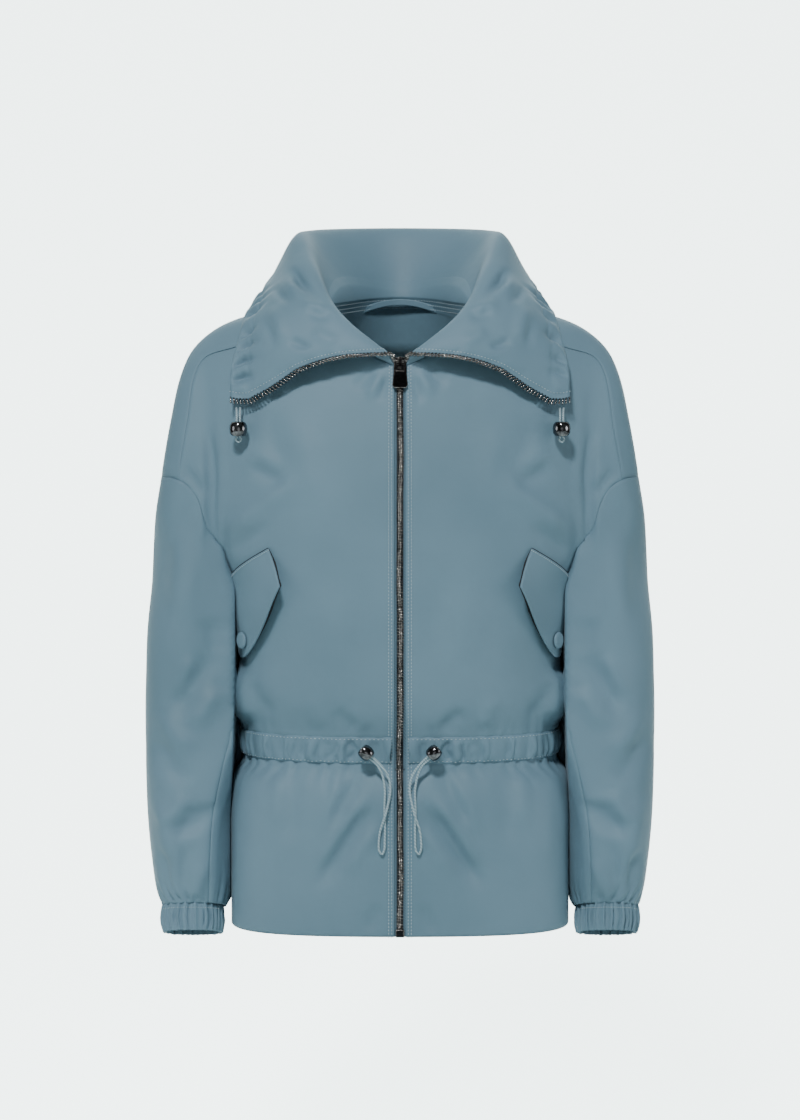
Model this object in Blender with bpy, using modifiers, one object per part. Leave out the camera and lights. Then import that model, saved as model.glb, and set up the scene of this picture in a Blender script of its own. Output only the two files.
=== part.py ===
"""A short parka in its worn form with nobody in it: fold-over collar, waist cord, elastic cuffs.

Metres, +Z up. The front faces -Y and the wearer's left is +X. The origin is the middle of the
neck at shoulder height, where the wearer's shoulders hold the garment. Every panel is an open
surface worked out for the +X half, mirrored where it has a twin, and given its wall with Solidify.
"""

import math

import bmesh
import bpy
import numpy as np
from mathutils import Matrix, Vector

# Cloth and seams
CLOTH = 0.0012  # one layer with its turnings
FLAP_CLOTH = 0.0018
COLLAR_CLOTH = 0.0022  # two layers
TAPE_CLOTH = 0.0007
SEAM_GAP = 0.0003
BENT_SEAM = 0.00045  # each side of a seam that runs over a bend
SHOULDER_GAP = 0.0008  # each side of the shoulder seam

# Torso below the underarm, one row for each height
UNDERARM = -0.290
HEM = -0.6092
HEM_RISE = 0.003  # the hem is this much higher at the sides
HEM_RISE_REACH = 0.12
TORSO_COLUMNS = ("height", "half_width", "front_depth", "back_depth", "squareness")
TORSO = (
    (-0.650, 0.1680, 0.1165, 0.1110, 4.6),
    (-0.580, 0.1682, 0.1165, 0.1110, 4.2),
    (-0.520, 0.1690, 0.1160, 0.1095, 3.6),
    (-0.482, 0.1700, 0.1140, 0.1070, 3.0),
    (-0.461, 0.1672, 0.1085, 0.1010, 2.7),
    (-0.4475, 0.1575, 0.1025, 0.0935, 2.5),
    (-0.433, 0.1560, 0.1010, 0.0920, 2.5),
    (-0.4185, 0.1570, 0.1030, 0.0940, 2.5),
    (-0.406, 0.1600, 0.1080, 0.0990, 2.5),
    (-0.382, 0.1645, 0.1150, 0.1050, 2.6),
    (-0.345, 0.1605, 0.1175, 0.1070, 2.6),
    (-0.290, 0.1675, 0.1180, 0.1070, 2.6),
)
SKIRT_ROWS = (HEM, -0.585, -0.555, -0.522, -0.494, -0.474, -0.459)
WAIST_ROWS = (-0.4475, -0.433, -0.4185, -0.404, -0.380, -0.345, UNDERARM)
BODY_ROWS = SKIRT_ROWS + WAIST_ROWS

# Shoulders: the ridge seen from the front, and the arch that falls from it to the underarm
RIDGE_COLUMNS = ("from_middle", "height")
RIDGE = (
    (0.000, 0.050),
    (0.040, 0.027),
    (0.0725, 0.012),
    (0.120, 0.001),
    (0.150, -0.006),
    (0.167, -0.012),
    (0.180, -0.018),
    (0.189, -0.024),
    (0.197, -0.030),
    (0.206, -0.040),
    (0.216, -0.060),
    (0.222, -0.080),
    (0.226, -0.100),
    (0.230, -0.120),
    (0.233, -0.140),
    (0.2372, -0.1655),
    (0.243, -0.200),
    (0.247, -0.240),
    (0.250, -0.288),
)
ARCH = 2.2
CHEST_WIDEN = 0.0245  # the torso grows this much wider from the underarm up
CHEST_WIDEN_OVER = 0.085
ARM_DEPTH = 0.062
ARM_START = 0.1700  # where the arm leaves the torso at the underarm
ARM_START_IN = 0.030  # and how far inward that moves
ARM_START_OVER = 0.100
ARM_SWELL = 0.034
CREASE_TIGHT = 0.006
CREASE_LOOSE = 0.030

# Seam lines seen from the front: distance from the middle, height
ZIP_EDGE = 0.0055
NECK_SIDE = (0.0725, -0.005)
NECK_FRONT = -0.055
NECK_ROUND = 0.6  # 1 is an ellipse, 0 a straight line to the shoulder seam
NECK_COLUMN_FOOT = 0.100  # the column under the neck's side reaches this far out at the underarm
NECK_BACK = 0.0125
SHOULDER_SEAM = (
    (0.0725, -0.005),
    (0.120, -0.018),
    (0.170, -0.040),
    (0.1925, -0.047),
    (0.2005, -0.052),
    (0.2038, -0.062),
    (0.2058, -0.084),
    (0.2115, -0.122),
    (0.2190, -0.167),
)
ARMHOLE = (
    (0.1675, -0.290),
    (0.1750, -0.258),
    (0.1840, -0.233),
    (0.1920, -0.205),
    (0.1985, -0.186),
    (0.2075, -0.1735),
    (0.2190, -0.167),
    (0.2300, -0.1655),
    (0.2372, -0.1655),
)
NECK_SHARE = 0.4  # of the way from the middle to the armhole, for blending between them
NECK_COLUMNS_FRONT = 5
NECK_COLUMNS_BACK = 6
SHOULDER_COLUMNS = 8
UPPER_ROWS_FRONT = 8
UPPER_ROWS_BACK = 10

# Sleeve below the armhole, one row for each height
# tuck: inward behind the body; lap: inward in front of its side
SLEEVE_COLUMNS = ("height", "outer", "inner", "tuck", "lap", "front", "back")
SLEEVE = (
    (-0.165, 0.2377, 0.1650, 0.000, 0.000, -0.058, 0.060),
    (-0.220, 0.2458, 0.1690, 0.000, 0.002, -0.066, 0.068),
    (-0.290, 0.2512, 0.1725, 0.004, 0.012, -0.068, 0.070),
    (-0.350, 0.2537, 0.1710, 0.024, 0.017, -0.070, 0.069),
    (-0.400, 0.2547, 0.1690, 0.030, 0.014, -0.074, 0.068),
    (-0.450, 0.2540, 0.1735, 0.036, 0.004, -0.079, 0.062),
    (-0.500, 0.2520, 0.1740, 0.032, 0.000, -0.083, 0.052),
    (-0.540, 0.2478, 0.1735, 0.026, 0.000, -0.084, 0.036),
    (-0.575, 0.2420, 0.1735, 0.012, 0.000, -0.079, 0.010),
    (-0.593, 0.2365, 0.1755, 0.000, 0.000, -0.073, -0.012),
    (-0.640, 0.2350, 0.1755, 0.000, 0.000, -0.086, -0.024),
)
TUCK_TURN = 0.8
LAP_TURN = 0.7
LAP_SQUARENESS = 4.0  # of the corner toward the body's front, where the sleeve laps most
LAP_FULL = 0.012
SLEEVE_BLEND = 0.006
SLEEVE_CLEAR = 0.0034  # the sleeve hangs this far off the body
ON_TOP_COLUMNS = ("height", "thick")  # what lies on the body beside the sleeve
ON_TOP = (
    (-0.510, 0.0),
    (-0.475, 0.0020),
    (-0.450, 0.0085),
    (-0.416, 0.0085),
    (-0.390, 0.0),
    (-0.365, 0.0),
    (-0.345, 0.0060),
    (-0.300, 0.0045),
    (UNDERARM, 0.0),
)
SLEEVE_SQUARENESS = 2.2
SLEEVE_END = -0.5915
SLEEVE_ROWS = (0.0, 0.05, 0.11, 0.18, 0.26, 0.34, 0.42, 0.50, 0.58, 0.66, 0.74, 0.82, 0.90, 0.96, 1.0)
SLEEVE_SEAM_COLUMNS = ("down", "turn")  # the seam turns from the underarm to the front, in degrees
SLEEVE_SEAM = ((0.0, 0.0), (0.35, 22.0), (0.55, 36.0), (0.80, 55.0), (1.0, 60.0))
SLEEVE_MERGE = 0.34  # share of the length over which the armhole shape fades
FOREARM_TILT = 0.28  # the cuff end leans forward: fall in height per metre to the back
FOREARM_FROM = 0.6  # share of the sleeve's length where the tilt begins

# Cuff
CUFF_TOP = -0.5925
CUFF_END = -0.6175
CUFF_GATHERS = 22
CUFF_COLUMNS = 66
CUFF_PROFILE = ((0.0, 0.0000), (0.3, 0.0012), (0.75, 0.0010), (1.0, -0.0006))
CUFF_RIPPLE = 0.0011

# Collar, for the +X half from the middle of the back to the zip
COLLAR_STATION = (
    "station",
    "roll_x",
    "roll_y",
    "roll_z",
    "mid_x",
    "mid_y",
    "mid_z",
    "edge_x",
    "edge_y",
    "edge_z",
)
COLLAR = (
    (0.00, 0.000, 0.092, 0.0826, 0.000, 0.113, 0.036, 0.000, 0.110, -0.026),
    (0.20, 0.063, 0.066, 0.0808, 0.086, 0.086, 0.038, 0.102, 0.078, -0.016),
    (0.36, 0.0990, 0.025, 0.0755, 0.1250, 0.027, 0.038, 0.148, 0.026, 0.001),
    (0.46, 0.0935, -0.008, 0.0570, 0.1245, -0.014, 0.024, 0.152, -0.015, -0.004),
    (0.55, 0.0840, -0.038, 0.0360, 0.122, -0.046, 0.008, 0.159, -0.047, -0.034),
    (0.66, 0.0720, -0.062, 0.0110, 0.116, -0.071, -0.013, 0.164, -0.062, -0.056),
    (0.78, 0.0510, -0.081, -0.0130, 0.104, -0.087, -0.032, 0.165, -0.068, -0.072),
    (0.90, 0.0275, -0.091, -0.0320, 0.088, -0.096, -0.046, 0.165, -0.071, -0.083),
    (1.00, 0.0110, -0.0940, -0.0435, 0.073, -0.098, -0.053, 0.165, -0.074, -0.090),
)
COLLAR_LIFT = 0.0024  # the collar starts this far above the neck seam
COLLAR_ROLL = 0.030  # how far the roll swings out
COLLAR_ROLL_LIMIT = 1.2  # and at most this share of the stand there
COLLAR_ROLL_UP = 0.3  # it also swings up beside the zip
COLLAR_FRONT_FROM = 0.8
COLLAR_STEP = 0.03  # stations between which the roll's direction is read
COLLAR_STAND_ROWS = 4
COLLAR_FALL_ROWS = 8
COLLAR_SPLIT = 2  # collar columns for each neck column

# Waist casing: across its width, height and how far it stands off the body
CASING_PROFILE = ((-0.4415, 0.0003), (-0.4358, 0.0034), (-0.4215, 0.0032), (-0.4155, 0.0003))
CASING_GATHERS = 32
CASING_COLUMNS = 96
CASING_RIPPLE = 0.0015
CASING_FULL = 0.004  # the ripple is whole where the casing stands this far off
CASING_START = 0.0085  # from the middle, beside the zip

# Pocket flap, in its own plane: along the sewn edge and how deep it hangs there
FLAP_OUTLINE = (
    (0.000, 0.0405),
    (0.018, 0.0530),
    (0.036, 0.0645),
    (0.054, 0.0735),
    (0.068, 0.0785),
    (0.080, 0.0795),
    (0.090, 0.0765),
    (0.098, 0.0705),
)
FLAP_CORNER = (0.127, -0.232)  # front corner of the sewn edge seen from the front
FLAP_SLANT = math.radians(28.0)
FLAP_ROWS = 5
FLAP_LIFT = 0.0055  # the free edge stands off by this, least toward the side
FLAP_CURL = 1.5
FLAP_CALM = (0.06, 0.11, 0.8)  # from, to, and how much of the lift is lost
FLAP_SEAT = 0.0010  # the flap's underside stands this far off the front
SNAP_AT = (0.074, 0.0650)  # along, down
SNAP_RADIUS = 0.0083
SNAP_HEIGHT = 0.0032
SNAP_SEAT = 0.0014

# Zip
CHAIN_HALF = 0.0030
CHAIN_THICK = 0.0024
CHAIN_BACK = 0.0006  # the chain's front face is this far behind the cloth's
CHAIN_ROWS = 30
CHAIN_END_GAP = 0.0010
CHAIN_TOP_DOWN = 0.0070  # the chain starts this far below the slider's top
TAPE_BACK = SEAM_GAP + 1.15 * CLOTH  # the tape lies this far behind the cloth's front
TAPE_END_GAP = 0.0008
TAPE_REACH = 0.0130
HALF_CHAIN_WIDE = 0.0045
BOX_LONG = 0.0075
BOX_HALF = 0.0042
BOX_THICK = 0.0018
BOX_PROUD = 0.0006
BOX_BELOW = 0.0004
SLIDER_TOP = -0.0470
SLOPE_FROM = 0.012  # the zip's slope is read between these depths below the slider's top
SLOPE_TO = 0.030
SLIDER_HALF = 0.0043
SLIDER_LONG = 0.0160
SLIDER_POST = 0.0060  # the post that parts the chain, from the slider's top
SLIDER_PLATE = 0.0016
SLIDER_CLEAR = 0.00045
HINGE_DOWN = 0.0048  # the pull's hinge, down from the slider's top
BRIDGE_WIDE = 0.0030
BRIDGE_BAR = 0.0016
BRIDGE_ABOVE = 0.0042
BRIDGE_BELOW = 0.0066
PULL_CLEAR = 0.0010
PULL_THICK = 0.0018
PULL_BAR = 0.0022
PULL_TOP_HALF = 0.0060
PULL_END_HALF = 0.0076
PULL_LONG = 0.0275
PULL_WINDOW = 0.0080
PULL_WINDOW_HALF = 0.0034

# Cords and beads
CORD_RADIUS = 0.0011
CORD_POINTS = 34
COLLAR_CORD_POINTS = 20
STRAND_APART = 0.0014
BEAD_HOLE = 0.0032
WAIST_BEAD = (0.0319, -0.4290)  # round from the middle, height
WAIST_BEAD_OFF = 0.0090
WAIST_BEAD_RADIUS = 0.0074
WAIST_BEAD_LONG = 0.0125
WAIST_CORD_ENDS = (-0.45, 0.60)  # bead lengths from its middle where the strands start
WAIST_LOOP = (  # down from the bead and back: round from the middle, height, off the cloth
    (0.0218, -0.4405, 0.0145),
    (0.0164, -0.4528, 0.0100),
    (0.0146, -0.4664, 0.0052),
    (0.0148, -0.4780, 0.0032),
    (0.0150, -0.4885, 0.0030),
    (0.0146, -0.5030, 0.0030),
    (0.0148, -0.5180, 0.0030),
    (0.0158, -0.5250, 0.0030),
    (0.0178, -0.5278, 0.0030),
    (0.0198, -0.5250, 0.0030),
    (0.0206, -0.5180, 0.0030),
    (0.0194, -0.5059, 0.0034),
    (0.0166, -0.4963, 0.0060),
    (0.0140, -0.4885, 0.0064),
    (0.0116, -0.4789, 0.0050),
    (0.0094, -0.4664, 0.0058),
    (0.0106, -0.4548, 0.0098),
    (0.0165, -0.4432, 0.0145),
)
COLLAR_CORD_RADIUS = 0.0010
COLLAR_BEAD = (0.1568, -0.0860, -0.1165)
COLLAR_BEAD_RADIUS = 0.0088
COLLAR_BEAD_LONG = 0.0140
STRANDS_FROM = (0.1556, 0.1592)
STRANDS_BELOW = 0.0020
STRANDS_FORWARD = 0.0010
BEAD_BARREL = ((0.72, -0.5), (0.94, -0.28), (1.0, 0.0), (0.94, 0.28), (0.72, 0.5))  # shares
COLLAR_LOOP = (  # through the bead and back: across, height
    (-0.0015, 0.0090),
    (-0.0014, 0.0000),
    (-0.0016, -0.0080),
    (-0.0024, -0.0102),
    (-0.0012, -0.0122),
    (0.0012, -0.0122),
    (0.0024, -0.0102),
    (0.0016, -0.0080),
    (0.0014, 0.0000),
    (0.0015, 0.0090),
)

# Neck
NECK_SHRINK = np.array([0.992, 0.985, 1.0])  # the collar stands on the middle of the wall
HANGER_HALF = 0.0370
HANGER_TOP = 0.0105
HANGER_WIDE = 0.0062
HANGER_RISE = 0.0085
HANGER_OFF = 0.0135  # from the back's outside
HANGER_COLUMNS = 14
HANGER_FORWARD = 0.0125
HANGER_THICK = 0.0014

PARKA = "parka"


def smooth(knots, values):
    """A curve through the knots that doesn't overshoot them."""
    x = np.asarray(knots, float)
    y = np.asarray(values, float)
    h = np.diff(x)
    d = np.diff(y) / h
    m = np.empty_like(y)
    m[0], m[-1] = d[0], d[-1]
    for i in range(1, len(x) - 1):
        same = d[i - 1] * d[i] > 0
        w1, w2 = 2 * h[i] + h[i - 1], h[i] + 2 * h[i - 1]
        m[i] = (w1 + w2) / (w1 / d[i - 1] + w2 / d[i]) if same else 0.0

    def at(q):
        q = np.clip(np.asarray(q, float), x[0], x[-1])
        i = np.clip(np.searchsorted(x, q, side="right") - 1, 0, len(h) - 1)
        t = (q - x[i]) / h[i]
        a = (1 + 2 * t) * (1 - t) ** 2 * y[i] + t * (1 - t) ** 2 * h[i] * m[i]
        return a + t * t * (3 - 2 * t) * y[i + 1] + t * t * (t - 1) * h[i] * m[i + 1]

    return at


def curves(names, rows):
    """One smooth curve for each named column over the first one."""
    table = np.array(sorted(rows), float)
    return {name: smooth(table[:, 0], table[:, i]) for i, name in enumerate(names) if i}


torso = curves(TORSO_COLUMNS, TORSO)
ridge = curves(RIDGE_COLUMNS, RIDGE)["height"]
sleeve = curves(SLEEVE_COLUMNS, SLEEVE)
on_top = curves(ON_TOP_COLUMNS, ON_TOP)["thick"]
sleeve_turn = curves(SLEEVE_SEAM_COLUMNS, SLEEVE_SEAM)["turn"]
collar = curves(COLLAR_STATION, COLLAR)


def ease(t):
    """0 to 1 with level ends."""
    t = np.clip(t, 0.0, 1.0)
    return t * t * (3 - 2 * t)


def blend_max(a, b, k):
    """The larger of two values, rounded over k."""
    h = np.clip(0.5 + 0.5 * (a - b) / k, 0.0, 1.0)
    return b * (1 - h) + a * h + k * h * (1 - h)


def spread(points, count):
    """Points at equal steps along a line."""
    points = np.asarray(points, float)
    step = np.linalg.norm(np.diff(points, axis=0), axis=1)
    run = np.concatenate([[0.0], np.cumsum(step)])
    at = np.linspace(0.0, run[-1], count + 1)
    return np.stack([np.interp(at, run, points[:, i]) for i in range(points.shape[1])], axis=1)


def along(points, share):
    """Points of a line at shares of its length."""
    points = np.asarray(points, float)
    step = np.linalg.norm(np.diff(points, axis=0), axis=1)
    run = np.concatenate([[0.0], np.cumsum(step)])
    at = np.asarray(share) * run[-1]
    return np.stack([np.interp(at, run, points[:, i]) for i in range(points.shape[1])], axis=-1)


def ring_half(z, count=240):
    """The torso's outline at a height below the underarm, from the front middle to the back."""
    turn = np.linspace(0.0, math.pi, count)
    power = 2.0 / float(torso["squareness"](z))
    s, c = np.sin(turn), np.cos(turn)
    x = float(torso["half_width"](z)) * np.abs(s) ** power
    depth = np.where(c > 0, float(torso["front_depth"](z)), float(torso["back_depth"](z)))
    return np.stack([x, -np.sign(c) * depth * np.abs(c) ** power, np.full(count, z)], axis=1)


def body_depth(x, z, back):
    """Half depth of the chest and the upper arm at a place above the underarm."""
    up = z - UNDERARM
    wide = float(torso["half_width"](UNDERARM)) + CHEST_WIDEN * ease(up / CHEST_WIDEN_OVER)
    deep = float(torso["back_depth" if back else "front_depth"](UNDERARM))
    n = float(torso["squareness"](UNDERARM))
    chest = deep * np.clip(1 - (x / wide) ** n, 0.0, 1.0) ** (1 / n)
    start = ARM_START - ARM_START_IN * ease(up / ARM_START_OVER)
    arm = ARM_DEPTH * np.sqrt(np.clip((x - start) / ARM_SWELL, 0.0, 1.0))
    return blend_max(chest, arm, CREASE_TIGHT + CREASE_LOOSE * ease((up - 0.02) / 0.12))


def dome(x, turn):
    """The upper body: turn 0 is the front at the underarm, half a turn the back."""
    x = np.asarray(x, float)
    power = 2.0 / ARCH
    z = UNDERARM + (ridge(x) - UNDERARM) * np.clip(np.sin(turn), 0.0, 1.0) ** power
    c = np.cos(turn)
    deep = np.where(c > 0, body_depth(x, z, False), body_depth(x, z, True))
    return np.stack([x, -np.sign(c) * deep * np.abs(c) ** power, z], axis=-1)


def turn_of(x, z, back=False):
    """The dome's turn at a place seen from the front."""
    share = np.clip((z - UNDERARM) / (ridge(x) - UNDERARM), 0.0, 1.0)
    t = np.arcsin(share ** (ARCH / 2))
    return np.pi - t if back else t


def seam_line(points, back=False):
    """A seam given from the front, as (x, turn)."""
    p = np.asarray(points, float)
    return np.stack([p[:, 0], turn_of(p[:, 0], p[:, 1], back)], axis=1)


def fine(points, count=160):
    """A smooth line through a few points."""
    p = np.asarray(points, float)
    run = np.concatenate([[0.0], np.cumsum(np.linalg.norm(np.diff(p, axis=0), axis=1))])
    at = np.linspace(0.0, run[-1], count)
    return np.stack([smooth(run, p[:, i])(at) for i in range(p.shape[1])], axis=1)


def neck_line(back, count=80):
    """The neck seam from the middle to the shoulder seam, as (x, turn)."""
    side = float(turn_of(*NECK_SIDE))
    middle = float(turn_of(0.0, NECK_BACK if back else NECK_FRONT, back))
    share = np.linspace(0.0, 1.0, count)
    a = share * math.pi / 2
    x = NECK_SIDE[0] * (NECK_ROUND * np.sin(a) + (1 - NECK_ROUND) * share)
    turn = side + (middle - side) * (NECK_ROUND * np.cos(a) + (1 - NECK_ROUND) * (1 - share))
    return np.stack([np.maximum(x, 0.0 if back else ZIP_EDGE), turn], axis=1)


def upper_patch(back):
    """The front or back above the underarm as a grid of (rows, columns) points, middle to arm."""
    necks = NECK_COLUMNS_BACK if back else NECK_COLUMNS_FRONT
    rows = UPPER_ROWS_BACK if back else UPPER_ROWS_FRONT
    middle = 0.0 if back else ZIP_EDGE
    floor = math.pi if back else 0.0
    end = len(ARMHOLE) - 2
    hole = fine(ARMHOLE[:end])
    if back:
        far = fine(ARMHOLE)
        near = fine(ARMHOLE[end - 1 :])[::-1]
        side = np.concatenate([seam_line(far, True), seam_line(near)[1:]])
    else:
        side = seam_line(hole)
    seam = seam_line(fine(SHOULDER_SEAM))
    neck = neck_line(back)
    side = from_dome(side, rows)
    low = float(torso["half_width"](UNDERARM))
    parts = []
    for top, x0, x1, columns, t0, t1 in (
        (neck, middle, NECK_COLUMN_FOOT, necks, 0.0, NECK_SHARE),
        (seam, NECK_COLUMN_FOOT, low, SHOULDER_COLUMNS, NECK_SHARE, 1.0),
    ):
        share = np.linspace(0.0, 1.0, len(top))
        t = t0 + (t1 - t0) * share
        bottom = np.stack([x0 + (x1 - x0) * share, np.full(len(share), floor)], axis=1)
        grid = []
        for r in range(rows + 1):
            w = r / rows
            left = np.array([middle, floor + (neck[0, 1] - floor) * w])
            corners = (
                (1 - w) * ((1 - t)[:, None] * [middle, floor] + t[:, None] * [low, floor])
                + w * ((1 - t)[:, None] * neck[0] + t[:, None] * seam[-1])
            )
            edges = (1 - t)[:, None] * left + t[:, None] * side[r]
            flat = (1 - w) * bottom + w * top + edges - corners
            grid.append(spread(dome(flat[:, 0], flat[:, 1]), columns))
        parts.append(np.array(grid))
    return np.concatenate([parts[0], parts[1][:, 1:]], axis=1)


def from_dome(line, count):
    """A line of (x, turn) at equal steps over the dome."""
    p = dome(line[:, 0], line[:, 1])
    run = np.concatenate([[0.0], np.cumsum(np.linalg.norm(np.diff(p, axis=0), axis=1))])
    at = np.linspace(0.0, run[-1], count + 1)
    return np.stack([np.interp(at, run, line[:, i]) for i in range(2)], axis=1)


def hem_rise(points, z):
    """Lift the lowest rows toward the sides."""
    share = np.clip(1 - (z - HEM) / HEM_RISE_REACH, 0.0, 1.0)
    out = points.copy()
    out[:, 2] += HEM_RISE * share * (points[:, 0] / float(torso["half_width"](HEM))) ** 2
    return out


def lower_patch(back):
    """The front or back below the underarm, middle to side seam."""
    necks = NECK_COLUMNS_BACK if back else NECK_COLUMNS_FRONT
    grid = []
    for z in BODY_ROWS:
        line = ring_half(z)
        half = int(np.argmax(line[:, 0]))
        line = line[half:][::-1] if back else line[: half + 1]
        first = 0.0 if back else ZIP_EDGE
        y = np.interp([first, NECK_COLUMN_FOOT], line[:, 0], line[:, 1])
        inner = line[(line[:, 0] > first) & (line[:, 0] < NECK_COLUMN_FOOT)]
        outer = line[line[:, 0] > NECK_COLUMN_FOOT]
        a, b = np.array([[first, y[0], z]]), np.array([[NECK_COLUMN_FOOT, y[1], z]])
        near = spread(np.concatenate([a, inner, b]), necks)
        far = spread(np.concatenate([b, outer]), SHOULDER_COLUMNS)
        grid.append(hem_rise(np.concatenate([near, far[1:]]), z))
    return np.array(grid)


def inset(grid, left=0.0, right=0.0, low=0.0, high=0.0):
    """Draw the edges of a grid in along its surface."""
    g = grid.copy()

    def pull(edge, neighbour, by):
        d = neighbour - edge
        return edge + d / np.linalg.norm(d, axis=-1, keepdims=True) * by

    g[:, 0], g[:, -1] = pull(g[:, 0], grid[:, 1], left), pull(g[:, -1], grid[:, -2], right)
    g[0], g[-1] = pull(g[0], g[1].copy(), low), pull(g[-1], g[-2].copy(), high)
    return g


def mirrored(grid):
    """The grid on the other side of the body, still facing out."""
    return (grid * np.array([-1.0, 1.0, 1.0]))[:, ::-1]


def finish(name, colour, roughness, metal=0.0):
    """A plain material."""
    m = bpy.data.materials.new(name)
    m.use_nodes = True
    p = m.node_tree.nodes["Principled BSDF"]
    p.inputs["Base Color"].default_value = (*colour, 1.0)
    p.inputs["Roughness"].default_value = roughness
    p.inputs["Metallic"].default_value = metal
    return m


def place(name, bm, material):
    """Put a mesh in the parka's collection as a named piece."""
    mesh = bpy.data.meshes.new(name)
    bm.to_mesh(mesh)
    bm.free()
    mesh.materials.append(material)
    piece = bpy.data.objects.new(name, mesh)
    parka.objects.link(piece)
    return piece


def wall(name, grid, thick, material, side=-1.0, closed=False):
    """A sheet of cloth from its outer points, with its thickness to the inside unless side says else."""
    rows, columns = grid.shape[:2]
    bm = bmesh.new()
    bmesh.ops.create_grid(bm, x_segments=columns - 1, y_segments=rows - 1, size=0.5)
    for v in bm.verts:
        c, r = round((v.co.x + 0.5) * (columns - 1)), round((v.co.y + 0.5) * (rows - 1))
        v.co = grid[r, c]
    if closed:
        bmesh.ops.remove_doubles(bm, verts=bm.verts[:], dist=1e-6)
    piece = place(name, bm, material)
    shell = piece.modifiers.new("Wall", "SOLIDIFY")
    shell.thickness = thick
    shell.offset = side
    shell.use_even_offset = False
    return piece


def cord(name, points, radius, material):
    """A round cord along a line."""
    data = bpy.data.curves.new(name, "CURVE")
    data.dimensions = "3D"
    data.bevel_depth = radius
    data.bevel_resolution = 2
    data.use_fill_caps = True
    line = data.splines.new("POLY")
    line.points.add(len(points) - 1)
    for p, co in zip(line.points, points):
        p.co = (*co, 1.0)
    data.materials.append(material)
    piece = bpy.data.objects.new(name, data)
    parka.objects.link(piece)
    return piece


def prism(name, outline, thick, frame, material):
    """A flat piece: an outline in the frame's first two axes, drawn out along its third."""
    bm = bmesh.new()
    face = bm.faces.new([bm.verts.new((x, y, 0.0)) for x, y in outline])
    made = bmesh.ops.extrude_face_region(bm, geom=[face])
    moved = [v for v in made["geom"] if isinstance(v, bmesh.types.BMVert)]
    bmesh.ops.translate(bm, verts=moved, vec=(0.0, 0.0, thick))
    bmesh.ops.transform(bm, matrix=frame, verts=bm.verts[:])
    bmesh.ops.recalc_face_normals(bm, faces=bm.faces[:])
    return place(name, bm, material)


def turned(name, profile, frame, material, steps=16):
    """A piece turned about the frame's third axis from (radius, height) points."""
    ring = profile[0][0] > 1e-9
    bm = bmesh.new()
    verts = [bm.verts.new((r, 0.0, h)) for r, h in profile]
    pairs = list(zip(verts, verts[1:])) + ([(verts[-1], verts[0])] if ring else [])
    edges = [bm.edges.new(p) for p in pairs]
    bmesh.ops.spin(
        bm, geom=verts + edges, angle=2 * math.pi, steps=steps, axis=(0, 0, 1), cent=(0, 0, 0), use_merge=True
    )
    bmesh.ops.remove_doubles(bm, verts=bm.verts[:], dist=1e-6)
    bmesh.ops.transform(bm, matrix=frame, verts=bm.verts[:])
    bmesh.ops.recalc_face_normals(bm, faces=bm.faces[:])
    return place(name, bm, material)


def combine(piece, other, operation):
    """Join another piece to this one, or cut it out, and drop the other."""
    step = piece.modifiers.new("Shape", "BOOLEAN")
    step.operation = operation
    step.solver = "EXACT"
    step.object = other
    bpy.context.view_layer.update()
    made = bpy.data.meshes.new_from_object(piece.evaluated_get(bpy.context.evaluated_depsgraph_get()))
    piece.modifiers.clear()
    piece.data = made
    bpy.data.objects.remove(other, do_unlink=True)


def frame_at(origin, x_axis, y_axis):
    """A matrix with its first axis along x_axis and its second near y_axis."""
    x = Vector(x_axis).normalized()
    z = x.cross(Vector(y_axis)).normalized()
    m = Matrix((x, z.cross(x), z)).transposed().to_4x4()
    m.translation = Vector(origin)
    return m


def frame_along(origin, axis):
    """A matrix with its third axis along axis."""
    axis = Vector(axis).normalized()
    side = axis.cross(Vector((0, 0, 1)) if abs(axis.z) < 0.9 else Vector((0, 1, 0)))
    return frame_at(origin, side, axis.cross(side))


def both_sides():
    """The two sides: a name ending and the mirror that makes it from +X."""
    return (("left", np.array([1.0, 1.0, 1.0])), ("right", np.array([-1.0, 1.0, 1.0])))


def level_line(z):
    """The body's outline at a height, from the front middle round to the back, without the arms."""
    if z <= UNDERARM:
        return ring_half(z)
    line = ring_half(UNDERARM)
    low = float(torso["half_width"](UNDERARM))
    line[:, 0] *= 1 + CHEST_WIDEN / low * float(ease((z - UNDERARM) / CHEST_WIDEN_OVER))
    line[:, 1] *= np.cos(turn_of(line[:, 0], np.full(len(line), z))) ** (2.0 / ARCH)
    line[:, 2] = z
    return line


def on_body(run, z, off=0.0):
    """A point at a distance round from the front middle, moved out by off."""
    line = level_line(z)
    step = run_of(line)
    run = float(np.clip(run, 0.001, step[-1] - 0.001))
    p, before, after = (
        np.array([np.interp(run + d, step, line[:, i]) for i in range(3)]) for d in (0.0, -1e-3, 1e-3)
    )
    d = after - before
    n = np.array([d[1], -d[0], 0.0])
    return p + n / np.linalg.norm(n) * off


def run_of(line):
    """The distance along a line at each of its points."""
    return np.concatenate([[0.0], np.cumsum(np.linalg.norm(np.diff(line, axis=0), axis=1))])


def front_y(z):
    """The cloth's front at the zip."""
    if z <= UNDERARM:
        return -float(torso["front_depth"](z))
    x = np.array([ZIP_EDGE])
    return float(dome(x, turn_of(x, np.array([z])))[0, 1])


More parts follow.
